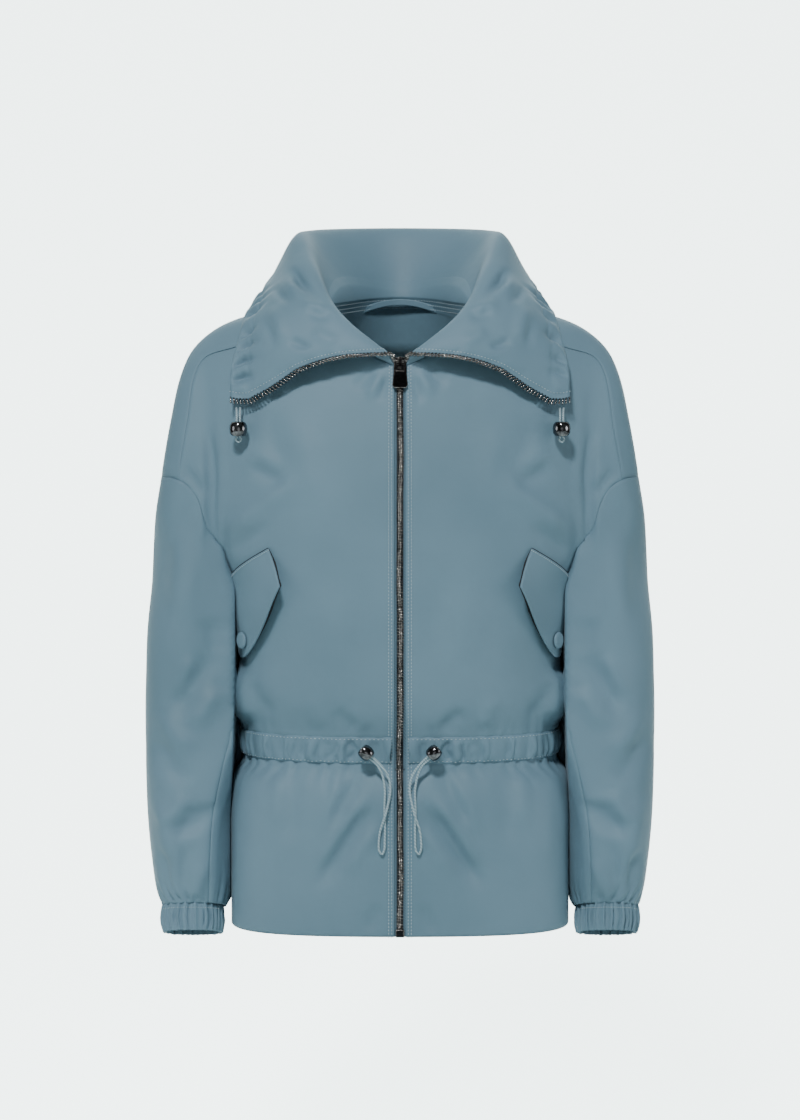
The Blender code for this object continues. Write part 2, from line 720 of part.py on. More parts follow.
def sleeve_ring(z, turn, count=200):
    """The sleeve's outline at a height, from its seam round by the front."""
    a = np.linspace(0.0, 2 * math.pi, count) + math.radians(turn)
    c, s = np.cos(a), np.sin(a)
    lap = float(sleeve["lap"](z))
    corner = np.where(s > 0, np.clip(2 * s * c, 0.0, 1.0), 0.0) * float(np.clip(lap / LAP_FULL, 0.0, 1.0))
    p = 2.0 / (SLEEVE_SQUARENESS + (LAP_SQUARENESS - SLEEVE_SQUARENESS) * corner)
    out = float(sleeve["outer"](z))
    inn = float(sleeve["inner"](z)) - float(sleeve["tuck"](z)) * ease(0.5 - s / TUCK_TURN)
    inn = inn - lap * ease(s / LAP_TURN)
    front, back = float(sleeve["front"](z)), float(sleeve["back"](z))
    x = (out + inn) / 2 - (out - inn) / 2 * np.sign(c) * np.abs(c) ** p
    y = (front + back) / 2 - (back - front) / 2 * np.sign(s) * np.abs(s) ** p
    x = blend_max(x, body_edge(y, z) + SLEEVE_CLEAR, SLEEVE_BLEND)
    return np.stack([x, y, np.full(count, z)], axis=1)


def body_edge(y, z):
    """How far out the body reaches at a depth and height, with the waist casing and the flap on it."""
    if z > UNDERARM:
        return np.full_like(y, -1.0)
    deep = np.where(y > 0, float(torso["back_depth"](z)), float(torso["front_depth"](z)))
    n = float(torso["squareness"](z))
    wide = float(torso["half_width"](z)) + float(on_top(z))
    return wide * np.clip(1 - (np.abs(y) / deep) ** n, 0.0, 1.0) ** (1 / n)


def sleeve_grid(loop):
    """The +X sleeve between the armhole and the cuff, rows upward, columns from its seam by the front."""
    columns = len(loop)
    top_share = run_of(loop) / run_of(loop)[-1]
    even = np.linspace(0.0, 1.0, columns)
    off = np.array([loop[c] - along(sleeve_ring(loop[c, 2], 0.0), top_share[c]) for c in range(columns)])
    middle = (float(sleeve["front"](SLEEVE_END)) + float(sleeve["back"](SLEEVE_END))) / 2
    grid = []
    for t in SLEEVE_ROWS:
        merge = float(ease(t / SLEEVE_MERGE))
        share = top_share + (even - top_share) * merge
        row = []
        for c in range(columns):
            z = loop[c, 2] * (1 - t) + SLEEVE_END * t
            p = along(sleeve_ring(z, float(sleeve_turn(t))), share[c])
            p[:2] += off[c, :2] * (1 - merge)
            p[2] = z - FOREARM_TILT * (p[1] - middle) * float(ease((t - FOREARM_FROM) / (1 - FOREARM_FROM)))
            row.append(p)
        grid.append(row)
    return np.array(grid)[::-1]


def cuff_grid():
    """The +X cuff, rows upward, one ripple for each gather."""
    grid = []
    a = np.linspace(0.0, 1.0, CUFF_COLUMNS + 1)
    wave = CUFF_RIPPLE * np.cos(2 * math.pi * CUFF_GATHERS * a)
    for down, out in reversed(CUFF_PROFILE):
        z = CUFF_TOP + (CUFF_END - CUFF_TOP) * down
        ring = spread(sleeve_ring(z, 0.0, 600), CUFF_COLUMNS)
        mid = ring[:-1].mean(axis=0)
        away = ring - mid
        reach = np.linalg.norm(away[:, :2], axis=1)
        p = mid + away * ((reach + out + wave) / reach)[:, None]
        p[:, 2] = z - FOREARM_TILT * (p[:, 1] - mid[1])
        grid.append(p)
    return np.array(grid)


def hermite(a, b, ta, tb, t):
    """A cubic between two points with end directions."""
    return (
        (2 * t**3 - 3 * t * t + 1) * a
        + (t**3 - 2 * t * t + t) * ta
        + (3 * t * t - 2 * t**3) * b
        + (t**3 - t * t) * tb
    )


def collar_at(part, station):
    """A point of the collar's table: its roll, the middle of its fall or its edge."""
    return np.array([float(collar[f"{part}_{axis}"](station)) for axis in "xyz"])


def collar_point(station, v, neck):
    """The collar's middle layer: v 0 is the neck seam, 1 the roll, 2 the outer edge."""
    roll, mid, edge = (collar_at(part, station) for part in ("roll", "mid", "edge"))
    way = collar_at("roll", station + COLLAR_STEP) - collar_at("roll", station - COLLAR_STEP)
    out = np.array([-way[1], way[0], 0.0]) if station > 0.0 else np.array([0.0, 1.0, 0.0])
    size = min(COLLAR_ROLL, COLLAR_ROLL_LIMIT * float(np.linalg.norm(roll - neck)))
    bend = out / np.linalg.norm(out) * size
    bend[2] += COLLAR_ROLL_UP * size * float(ease((station - COLLAR_FRONT_FROM) / (1 - COLLAR_FRONT_FROM)))
    if v <= 1.0:
        return hermite(neck, roll, roll - neck, bend, v)
    if v <= 1.5:
        return hermite(roll, mid, bend, (edge - roll) * 0.5, (v - 1.0) * 2)
    return hermite(mid, edge, (edge - roll) * 0.5, (edge - mid) * 0.8, (v - 1.5) * 2)


def collar_half(neck):
    """The +X half of the collar, rows from the neck seam out, columns from the back to the zip."""
    rows = [i / COLLAR_STAND_ROWS for i in range(COLLAR_STAND_ROWS)]
    rows += [1 + i / COLLAR_FALL_ROWS for i in range(COLLAR_FALL_ROWS + 1)]
    columns = len(neck) - 1
    return np.array([[collar_point(c / columns, v, neck[c]) for c in range(columns + 1)] for v in rows])


def collar_rim(side):
    """A strip past the collar's zip edge, in its surface, as two rows of points."""
    edge, inner = side[COLLAR_STAND_ROWS + 1 :, -1], side[COLLAR_STAND_ROWS + 1 :, -2]
    way = np.gradient(edge, axis=0)
    way /= np.linalg.norm(way, axis=1, keepdims=True)
    d = edge - inner
    d -= way * np.sum(d * way, axis=1, keepdims=True)
    d /= np.linalg.norm(d, axis=1, keepdims=True)
    at = np.linspace(0.0, len(edge) - 1, 2 * len(edge) - 1)
    steps = np.arange(len(edge))
    edge, d = (np.stack([np.interp(at, steps, q[:, i]) for i in range(3)], axis=1) for q in (edge, d))
    return np.array([edge + d * BENT_SEAM, edge + d * HALF_CHAIN_WIDE])


def casing_grid():
    """The casing from the zip's +X side round the back to its other side, rows upward."""
    grid = []
    a = np.linspace(0.0, 1.0, CASING_COLUMNS + 1)
    for z, off in CASING_PROFILE:
        half = ring_half(z, 480)
        half = half[(half[:, 0] > CASING_START) | (half[:, 1] > 0)]
        line = spread(np.concatenate([half, (half * np.array([-1.0, 1.0, 1.0]))[::-1][1:]]), CASING_COLUMNS)
        d = np.gradient(line, axis=0)
        n = np.stack([d[:, 1], -d[:, 0], np.zeros(len(d))], axis=1)
        n /= np.linalg.norm(n, axis=1, keepdims=True)
        wave = CASING_RIPPLE * min(1.0, off / CASING_FULL) * np.cos(2 * math.pi * CASING_GATHERS * a)
        grid.append(line + n * (SEAM_GAP + CLOTH + off + wave)[:, None])
    return np.array(grid)


def flap_place(p, q, more=0.0):
    """A point of the flap's face: along the sewn edge, down from it, and more off the cloth."""
    line = level_line(FLAP_CORNER[1])
    line = line[: int(np.argmax(line[:, 0]))]
    start = float(np.interp(FLAP_CORNER[0], line[:, 0], run_of(line)))
    c, s = math.cos(FLAP_SLANT), math.sin(FLAP_SLANT)
    along_edge, deep = (np.array(column) for column in zip(*FLAP_OUTLINE))
    free = q / float(np.interp(p, along_edge, deep))
    calm_from, calm_to, calm = FLAP_CALM
    lift = FLAP_LIFT * free**FLAP_CURL * float(1 - calm * ease((p - calm_from) / (calm_to - calm_from)))
    off = FLAP_SEAT + FLAP_CLOTH + lift + more
    return on_body(start + p * c - q * s, FLAP_CORNER[1] - p * s - q * c, off)


def flap_grid():
    """The +X flap, rows upward, columns from its front corner to the side."""
    shares = [r / FLAP_ROWS for r in range(FLAP_ROWS, -1, -1)]
    return np.array([[flap_place(p, deep * share) for p, deep in FLAP_OUTLINE] for share in shares])


def strip_down(x0, x1, z0, z1, back, rows):
    """A strip down the middle between two distances, this far behind the cloth's front."""
    heights = np.linspace(z0, z1, rows + 1)
    return np.array([[(x, front_y(z) + back, z) for x in (x0, x1)] for z in heights])


for old in list(bpy.data.objects):
    bpy.data.objects.remove(old, do_unlink=True)
parka = bpy.data.collections.new(PARKA)
bpy.context.scene.collection.children.link(parka)

cloth = finish("dusty blue cloth", (0.17, 0.25, 0.29), 0.62)
dark = finish("tape", (0.10, 0.15, 0.18), 0.75)
metal = finish("black nickel", (0.10, 0.10, 0.11), 0.32, 1.0)
elastic = finish("elastic cord", (0.20, 0.29, 0.33), 0.8)

# Fronts and back
front_up, back_up = upper_patch(False), upper_patch(True)
front_grid = np.concatenate([lower_patch(False), front_up[1:]])
back_half = np.concatenate([lower_patch(True), back_up[1:]])
side_rows = len(BODY_ROWS) - 2


def seam_insets(grid):
    """How far each row's outer end is drawn in: little at the side seam, more round the armhole."""
    return np.array([[SEAM_GAP / 2 if r < side_rows else BENT_SEAM] for r in range(len(grid))])


front = inset(front_grid, right=seam_insets(front_grid), high=SHOULDER_GAP)
wall("front_left", front, CLOTH, cloth)
wall("front_right", mirrored(front), CLOTH, cloth)
back_edge = inset(back_half, right=seam_insets(back_half), high=SHOULDER_GAP)
back_full = np.concatenate([back_edge[:, ::-1], (back_edge * np.array([-1.0, 1.0, 1.0]))[:, 1:]], axis=1)
wall("back", back_full, CLOTH, cloth)

# Sleeves and cuffs
armhole = np.concatenate([front_up[:, -1], back_up[::-1, -1][1:]])
arm = inset(sleeve_grid(armhole), left=BENT_SEAM, right=BENT_SEAM, high=BENT_SEAM)
wall("sleeve_left", arm, CLOTH, cloth)
wall("sleeve_right", mirrored(arm), CLOTH, cloth)
cuff = cuff_grid()
wall("cuff_left", cuff, CLOTH, cloth, closed=True)
wall("cuff_right", mirrored(cuff), CLOTH, cloth, closed=True)

# Collar
neck_back = back_up[-1, : NECK_COLUMNS_BACK + 1]
neck_front = front_up[-1, : NECK_COLUMNS_FRONT + 1][::-1]
neck = np.concatenate([neck_back, neck_front[1:]])
neck = spread(neck, (len(neck) - 1) * COLLAR_SPLIT) * NECK_SHRINK + np.array([0.0, 0.0, COLLAR_LIFT])
collar_side = collar_half(neck)
collar_full = np.concatenate([mirrored(collar_side), collar_side[:, 1:]], axis=1)
wall("collar", collar_full, COLLAR_CLOTH, cloth, side=0.0)

# Waist casing, pocket flaps and snaps
wall("waist_casing", casing_grid(), CLOTH, cloth)
flap = flap_grid()
wall("flap_left", flap, FLAP_CLOTH, cloth)
wall("flap_right", mirrored(flap), FLAP_CLOTH, cloth)
snap_at = flap_place(*SNAP_AT, SNAP_SEAT)
snap_way = flap_place(*SNAP_AT, SNAP_SEAT + 0.01) - snap_at
SNAP_PROFILE = (
    (0.0, 0.0),
    (SNAP_RADIUS, 0.0),
    (SNAP_RADIUS, SNAP_HEIGHT * 0.5),
    (SNAP_RADIUS * 0.86, SNAP_HEIGHT * 0.85),
    (SNAP_RADIUS * 0.55, SNAP_HEIGHT),
    (0.0, SNAP_HEIGHT),
)
for name, mirror in both_sides():
    turned(f"snap_{name}", SNAP_PROFILE, frame_along(snap_at * mirror, snap_way * mirror), cloth)

# Zip down the front
chain_ends = (HEM + BOX_LONG + CHAIN_END_GAP, SLIDER_TOP - CHAIN_TOP_DOWN)
chain = strip_down(-CHAIN_HALF, CHAIN_HALF, *chain_ends, CHAIN_BACK, CHAIN_ROWS)
wall("zip_chain", chain, CHAIN_THICK, metal)
tape_rows = []
for row in front_grid:
    x = np.array([CHAIN_HALF + SEAM_GAP, TAPE_REACH])
    y = np.interp(x, row[:, 0], row[:, 1]) + TAPE_BACK
    tape_rows.append([(a, b, row[0, 2]) for a, b in zip(x, y)])
tape = inset(np.array(tape_rows), high=TAPE_END_GAP)
wall("zip_tape_left", tape, TAPE_CLOTH, dark)
wall("zip_tape_right", mirrored(tape), TAPE_CLOTH, dark)
box = frame_at((-BOX_HALF, front_y(HEM) - BOX_PROUD, HEM - BOX_BELOW), (1, 0, 0), (0, 1, 0))
box_outline = ((0, 0), (2 * BOX_HALF, 0), (2 * BOX_HALF, BOX_THICK), (0, BOX_THICK))
prism("zip_box", box_outline, BOX_LONG, box, metal)

# Slider and pull lie along the slope of the chest
slope_heights = (SLIDER_TOP - SLOPE_FROM, SLIDER_TOP - SLOPE_TO)
slope_from, slope_to = (Vector((0.0, front_y(z), z)) for z in slope_heights)
down = (slope_to - slope_from).normalized()
out = down.cross(Vector((1, 0, 0)))
out = out if out.y < 0 else -out
across = down.cross(out)
zip_top = slope_from - down * SLOPE_FROM


def on_slope(down_by=0.0, out_by=0.0):
    """A place at the zip's top: down along the cloth and out from it."""
    return zip_top + down * down_by + out * out_by


def slope_frame(half, out_by=0.0):
    """A frame there: first axis down, second out, third across, started half to one side."""
    m = Matrix((down, out, across)).transposed().to_4x4()
    m.translation = on_slope(0.0, out_by) - across * half
    return m


plate = -CHAIN_BACK + SLIDER_CLEAR
plate_face = plate + SLIDER_PLATE
behind = plate - CHAIN_THICK - 2 * SLIDER_CLEAR
SLIDER_SECTION = (
    (0.0, plate_face),
    (SLIDER_LONG, plate_face),
    (SLIDER_LONG, plate),
    (SLIDER_POST, plate),
    (SLIDER_POST, behind),
    (SLIDER_LONG, behind),
    (SLIDER_LONG, behind - SLIDER_PLATE),
    (0.0, behind - SLIDER_PLATE),
)
hinge_out = plate_face + PULL_CLEAR + PULL_THICK / 2
bridge_in = hinge_out + PULL_THICK / 2 + PULL_CLEAR
bridge_out = bridge_in + BRIDGE_BAR
bridge_foot = plate + SLIDER_PLATE / 2
above, below = HINGE_DOWN - BRIDGE_ABOVE, HINGE_DOWN + BRIDGE_BELOW
BRIDGE_SECTION = (
    (above, bridge_out),
    (below, bridge_out),
    (below, bridge_foot),
    (below - BRIDGE_BAR, bridge_foot),
    (below - BRIDGE_BAR, bridge_in),
    (above + BRIDGE_BAR, bridge_in),
    (above + BRIDGE_BAR, bridge_foot),
    (above, bridge_foot),
)
slider = prism("zip_slider", SLIDER_SECTION, 2 * SLIDER_HALF, slope_frame(SLIDER_HALF), metal)
bridge = prism("bridge", BRIDGE_SECTION, BRIDGE_WIDE, slope_frame(BRIDGE_WIDE / 2), metal)
combine(slider, bridge, "UNION")

top_edge = HINGE_DOWN - PULL_BAR / 2
PULL_OUTLINE = (
    (0.0, PULL_TOP_HALF),
    (0.45, PULL_TOP_HALF * 1.06),
    (0.9, PULL_END_HALF),
    (1.0, PULL_END_HALF * 0.75),
)
outline = [(top_edge + PULL_LONG * share, half) for share, half in PULL_OUTLINE]
outline += [(d, -half) for d, half in reversed(outline)]
window = [(top_edge + PULL_BAR + d, PULL_WINDOW_HALF) for d in (0.0, PULL_WINDOW)]
window += [(d, -half) for d, half in reversed(window)]
flat = frame_at(on_slope(0.0, hinge_out), down, (1, 0, 0))
pull = prism("zip_pull", outline, PULL_THICK, flat @ Matrix.Translation((0, 0, -PULL_THICK / 2)), metal)
cutter = prism("window", window, 4 * PULL_THICK, flat @ Matrix.Translation((0, 0, -2 * PULL_THICK)), metal)
combine(pull, cutter, "DIFFERENCE")

# Open half chains on the collar's front edges
rim = collar_rim(collar_side)
wall("zip_half_left", rim, CHAIN_THICK, metal, side=0.0)
wall("zip_half_right", mirrored(rim), CHAIN_THICK, metal, side=0.0)


def bead_profile(radius, long):
    """A barrel bead with a hole, as (radius, height)."""
    barrel = [(radius * r, long * h) for r, h in BEAD_BARREL]
    return [(BEAD_HOLE, -0.5 * long), *barrel, (BEAD_HOLE, 0.5 * long)]


# Waist beads and cords
casing_face = SEAM_GAP + CLOTH + CASING_PROFILE[1][1] + CASING_RIPPLE
waist_bead = on_body(*WAIST_BEAD, casing_face + WAIST_BEAD_OFF)
loop_points = np.array([on_body(*row) for row in WAIST_LOOP])
lead = (loop_points[0] + loop_points[-1]) / 2 - waist_bead
lead /= np.linalg.norm(lead)
apart = loop_points[0] - loop_points[-1]
apart -= lead * float(apart @ lead)
apart *= STRAND_APART / np.linalg.norm(apart)
starts = [waist_bead + lead * WAIST_BEAD_LONG * share for share in WAIST_CORD_ENDS]
loop_line = [p + apart for p in starts] + list(loop_points) + [p - apart for p in reversed(starts)]
waist_cord = fine(loop_line, CORD_POINTS)
for name, mirror in both_sides():
    cord(f"waist_cord_{name}", waist_cord * mirror, CORD_RADIUS, elastic)
    bead = bead_profile(WAIST_BEAD_RADIUS, WAIST_BEAD_LONG)
    turned(f"waist_bead_{name}", bead, frame_along(waist_bead * mirror, lead * mirror), metal)

# Collar beads and cords
corner = collar_side[-1, -1]
collar_bead = np.array(COLLAR_BEAD)
ends = [(x, corner[1] - STRANDS_FORWARD, corner[2] - HALF_CHAIN_WIDE - STRANDS_BELOW) for x in STRANDS_FROM]
in_bead = [(collar_bead[0] + x, collar_bead[1], collar_bead[2] + h) for x, h in COLLAR_LOOP]
drop = fine([ends[0], *in_bead, ends[1]], COLLAR_CORD_POINTS)
for name, mirror in both_sides():
    cord(f"collar_cord_{name}", drop * mirror, COLLAR_CORD_RADIUS, elastic)
    bead = bead_profile(COLLAR_BEAD_RADIUS, COLLAR_BEAD_LONG)
    turned(f"collar_bead_{name}", bead, frame_along(collar_bead * mirror, (0, 0, 1)), metal)

# Hanger loop inside the back of the neck
across_loop = np.linspace(-1.0, 1.0, HANGER_COLUMNS + 1)
hang_y = float(back_half[-1, 0, 1]) - HANGER_OFF - HANGER_FORWARD * across_loop**2
hang_top = HANGER_TOP - HANGER_RISE * across_loop**2
hang_x = HANGER_HALF * across_loop
hanger = [np.stack([hang_x, hang_y, hang_top - deep], axis=1) for deep in (HANGER_WIDE, 0.0)]
wall("hanger_loop", np.array(hanger), HANGER_THICK, cloth, side=0.0)
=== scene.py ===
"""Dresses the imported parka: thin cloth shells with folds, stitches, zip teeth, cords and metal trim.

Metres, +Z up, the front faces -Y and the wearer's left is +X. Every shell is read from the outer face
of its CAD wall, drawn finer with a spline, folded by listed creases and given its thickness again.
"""

from __future__ import annotations

import logging
import math
from collections.abc import Iterable, Sequence
from dataclasses import asdict, dataclass, field, replace
from enum import Enum

import bmesh
import bpy
import numpy as np
from bmesh.types import BMEdge, BMFace, BMVert
from bpy.types import ID, Material, Node, NodeOutputs, NodeSocket, NodeTree, Object
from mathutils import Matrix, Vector
from mathutils.bvhtree import BVHTree

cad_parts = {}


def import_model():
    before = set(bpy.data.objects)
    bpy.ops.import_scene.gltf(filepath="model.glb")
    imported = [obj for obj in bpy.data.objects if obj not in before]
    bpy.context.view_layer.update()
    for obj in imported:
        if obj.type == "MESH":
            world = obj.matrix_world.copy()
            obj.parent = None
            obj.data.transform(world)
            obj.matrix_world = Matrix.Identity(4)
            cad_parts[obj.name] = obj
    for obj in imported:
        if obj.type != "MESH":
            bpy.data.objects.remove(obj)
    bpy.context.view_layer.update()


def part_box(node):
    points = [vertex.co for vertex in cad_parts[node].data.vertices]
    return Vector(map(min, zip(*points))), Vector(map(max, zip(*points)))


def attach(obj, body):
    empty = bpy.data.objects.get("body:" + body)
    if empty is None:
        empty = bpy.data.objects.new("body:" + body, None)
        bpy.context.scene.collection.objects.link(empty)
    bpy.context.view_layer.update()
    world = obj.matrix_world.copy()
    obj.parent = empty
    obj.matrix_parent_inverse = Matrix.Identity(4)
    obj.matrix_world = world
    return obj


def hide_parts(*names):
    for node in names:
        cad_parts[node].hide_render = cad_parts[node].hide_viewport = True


log = logging.getLogger("parka")

Point = tuple[float, float, float]
Pairs = tuple[tuple[float, float], ...]

MM = 0.001
WELD = 1e-5  # lengths under this don't count
RIM_SHARE = 1.3  # a CAD face with an edge under this many wall thicknesses is part of the wall's rim
ROLL = 0.3  # share of its drop that a turned edge already has on the row before its rim
THREAD_LIFT = 0.0002  # how far stitches stand off the cloth
WAVE_REPEAT = 2 * math.pi / 20  # the length after which a Wave texture of scale 1 repeats
SHELL = 0.0009  # thickness of a single layer of cloth
EDGE_FACES = 3  # faces across a rounded edge
SHARP = math.radians(35.0)  # edges that turn more than this are rounded
LEVEL = math.radians(2.0)  # and faces that turn less than this are joined first
BEFORE = -0.3  # Y of points in front of the garment, from which rays go back to it
CREASE_SPREAD = 0.16  # share by which a fold's height differs between the sides
CREASE_SHIFT = 2.0  # millimetres by which its place differs
LEAN_SHARE = 0.6  # how much a full lean widens one flank and narrows the other
TURNED_AWAY = -0.15  # a fold starts on cloth that faces its view this much, as a cosine
TURNED_OVER = 0.45  # and has its full height this much further on
FALL = 1.6  # power in the way that gathers die away
RIDGE_SHARE = 0.55  # height of a gather's ridge beside its groove
RIDGE_OFF = 1.5  # and how many widths beside it
PLEAT_MARGIN = 0.03  # pleats are drawn this far past both ends
PLEAT_SWAY = (0.18, 0.04, 0.021)  # a pleat's slant, how far it goes on and how soon the next ones differ
PLEAT_PUFF = 0.3  # how far the cloth puffs up between two grooves
PLEAT_HALF = 0.27  # half width of a groove, as a share of the pitch
PLEAT_POINT = 1.3  # power in a groove's section, sharper than 2 would be
FRONT = (0.0, -1.0, 0.0)
REAR = (0.0, 1.0, 0.0)
OUTER = (1.0, 0.0, 0.0)


class Side(Enum):
    """The wearer's side that a piece is on, with its sign along X."""

    LEFT = 1
    RIGHT = -1

    @property
    def word(self) -> str:
        """The side as it is written in names."""
        return self.name.lower()


class Edge(Enum):
    """One edge of a grid of points."""

    FIRST_ROW = "first_row"
    LAST_ROW = "last_row"
    FIRST_COLUMN = "first_column"
    LAST_COLUMN = "last_column"

    @property
    def axis(self) -> int:
        """The grid's axis that leads away from the edge: 0 from a row, 1 from a column."""
        return 0 if self in (Edge.FIRST_ROW, Edge.LAST_ROW) else 1

    @property
    def first(self) -> bool:
        """Whether it is the first row or column."""
        return self in (Edge.FIRST_ROW, Edge.FIRST_COLUMN)


class View(Enum):
    """The side of the garment from which a crease is placed."""

    FRONT = -1
    REAR = 1


def linear(code: str) -> tuple[float, float, float, float]:
    """Turn an sRGB hex colour into linear light.

    Args:
        code: Six hex digits.

    Returns:
        Red, green, blue and an alpha of 1.
    """
    parts = [int(code[i : i + 2], 16) / 255 for i in (0, 2, 4)]
    red, green, blue = (c / 12.92 if c <= 0.04045 else ((c + 0.055) / 1.055) ** 2.4 for c in parts)
    return red, green, blue, 1.0


def fill(node: Node, inputs: dict[int | str, object]) -> None:
    """Set a node's inputs, by number or name, to values, or link them from other nodes' sockets."""
    for key, value in inputs.items():
        if isinstance(value, NodeSocket):
            node.id_data.links.new(value, node.inputs[key])
        else:
            node.inputs[key].default_value = value


def add_node(
    tree: NodeTree, kind: str, inputs: dict[int | str, object] | None = None,
    tones: dict[float, str] | None = None, **settings: object,
) -> Node:
    """Add a node with its settings and links.

    Args:
        tree: The tree that gets the node.
        kind: The node's type name.
        inputs: Values, and sockets to link from, by the number or name of the input.
        tones: A colour ramp's hex colours by their places.
        **settings: The node's attributes.

    Returns:
        The new node.
    """
    node = tree.nodes.new(kind)
    for key, value in settings.items():
        setattr(node, key, value)
    fill(node, inputs or {})
    for k, (at, colour) in enumerate((tones or {}).items()):
        node.color_ramp.elements[k].position = at
        node.color_ramp.elements[k].color = linear(colour)
    return node


def ease(t: np.ndarray | float) -> np.ndarray | float:
    """0 to 1 with level ends."""
    t = np.clip(t, 0.0, 1.0)
    return t * t * (3 - 2 * t)


def unit(v: np.ndarray) -> np.ndarray:
    """Vectors of length 1."""
    return v / np.maximum(np.linalg.norm(v, axis=-1, keepdims=True), 1e-12)


def run_of(points: np.ndarray) -> np.ndarray:
    """The distance along a line at each of its points."""
    return np.concatenate([[0.0], np.cumsum(np.linalg.norm(np.diff(points, axis=0), axis=1))])


def values_at(run: np.ndarray, values: np.ndarray, at: np.ndarray | float) -> np.ndarray:
    """Vectors at other distances along a line, from those at its own points."""
    return np.stack([np.interp(at, run, values[:, i]) for i in range(values.shape[1])], axis=-1)


def evenly(points: np.ndarray, step: float) -> np.ndarray:
    """Points at equal steps along a line."""
    run = run_of(points)
    return values_at(run, points, np.arange(0.0, run[-1], step))


def spline_weights(knots: np.ndarray, at: np.ndarray) -> np.ndarray:
    """Weights of a natural cubic spline through values at the knots.

    Args:
        knots: Rising places of the known values.
        at: Places where the spline is read.

    Returns:
        A matrix that turns the known values into those at the new places.
    """
    n = len(knots)
    h = np.diff(knots)
    left, right = np.eye(n), np.zeros((n, n))
    for i in range(1, n - 1):
        left[i, i - 1 : i + 2] = h[i - 1] / 6, (h[i - 1] + h[i]) / 3, h[i] / 6
        right[i, i - 1 : i + 2] = 1 / h[i - 1], -1 / h[i - 1] - 1 / h[i], 1 / h[i]
    bend = np.linalg.solve(left, right)
    i = np.clip(np.searchsorted(knots, at, side="right") - 1, 0, n - 2)
    a, b = (knots[i + 1] - at) / h[i], (at - knots[i]) / h[i]
    eye = np.eye(n)
    square = (h[i] ** 2 / 6)[:, None]
    out = a[:, None] * eye[i] + b[:, None] * eye[i + 1]
    return out + square * ((a**3 - a)[:, None] * bend[i] + (b**3 - b)[:, None] * bend[i + 1])


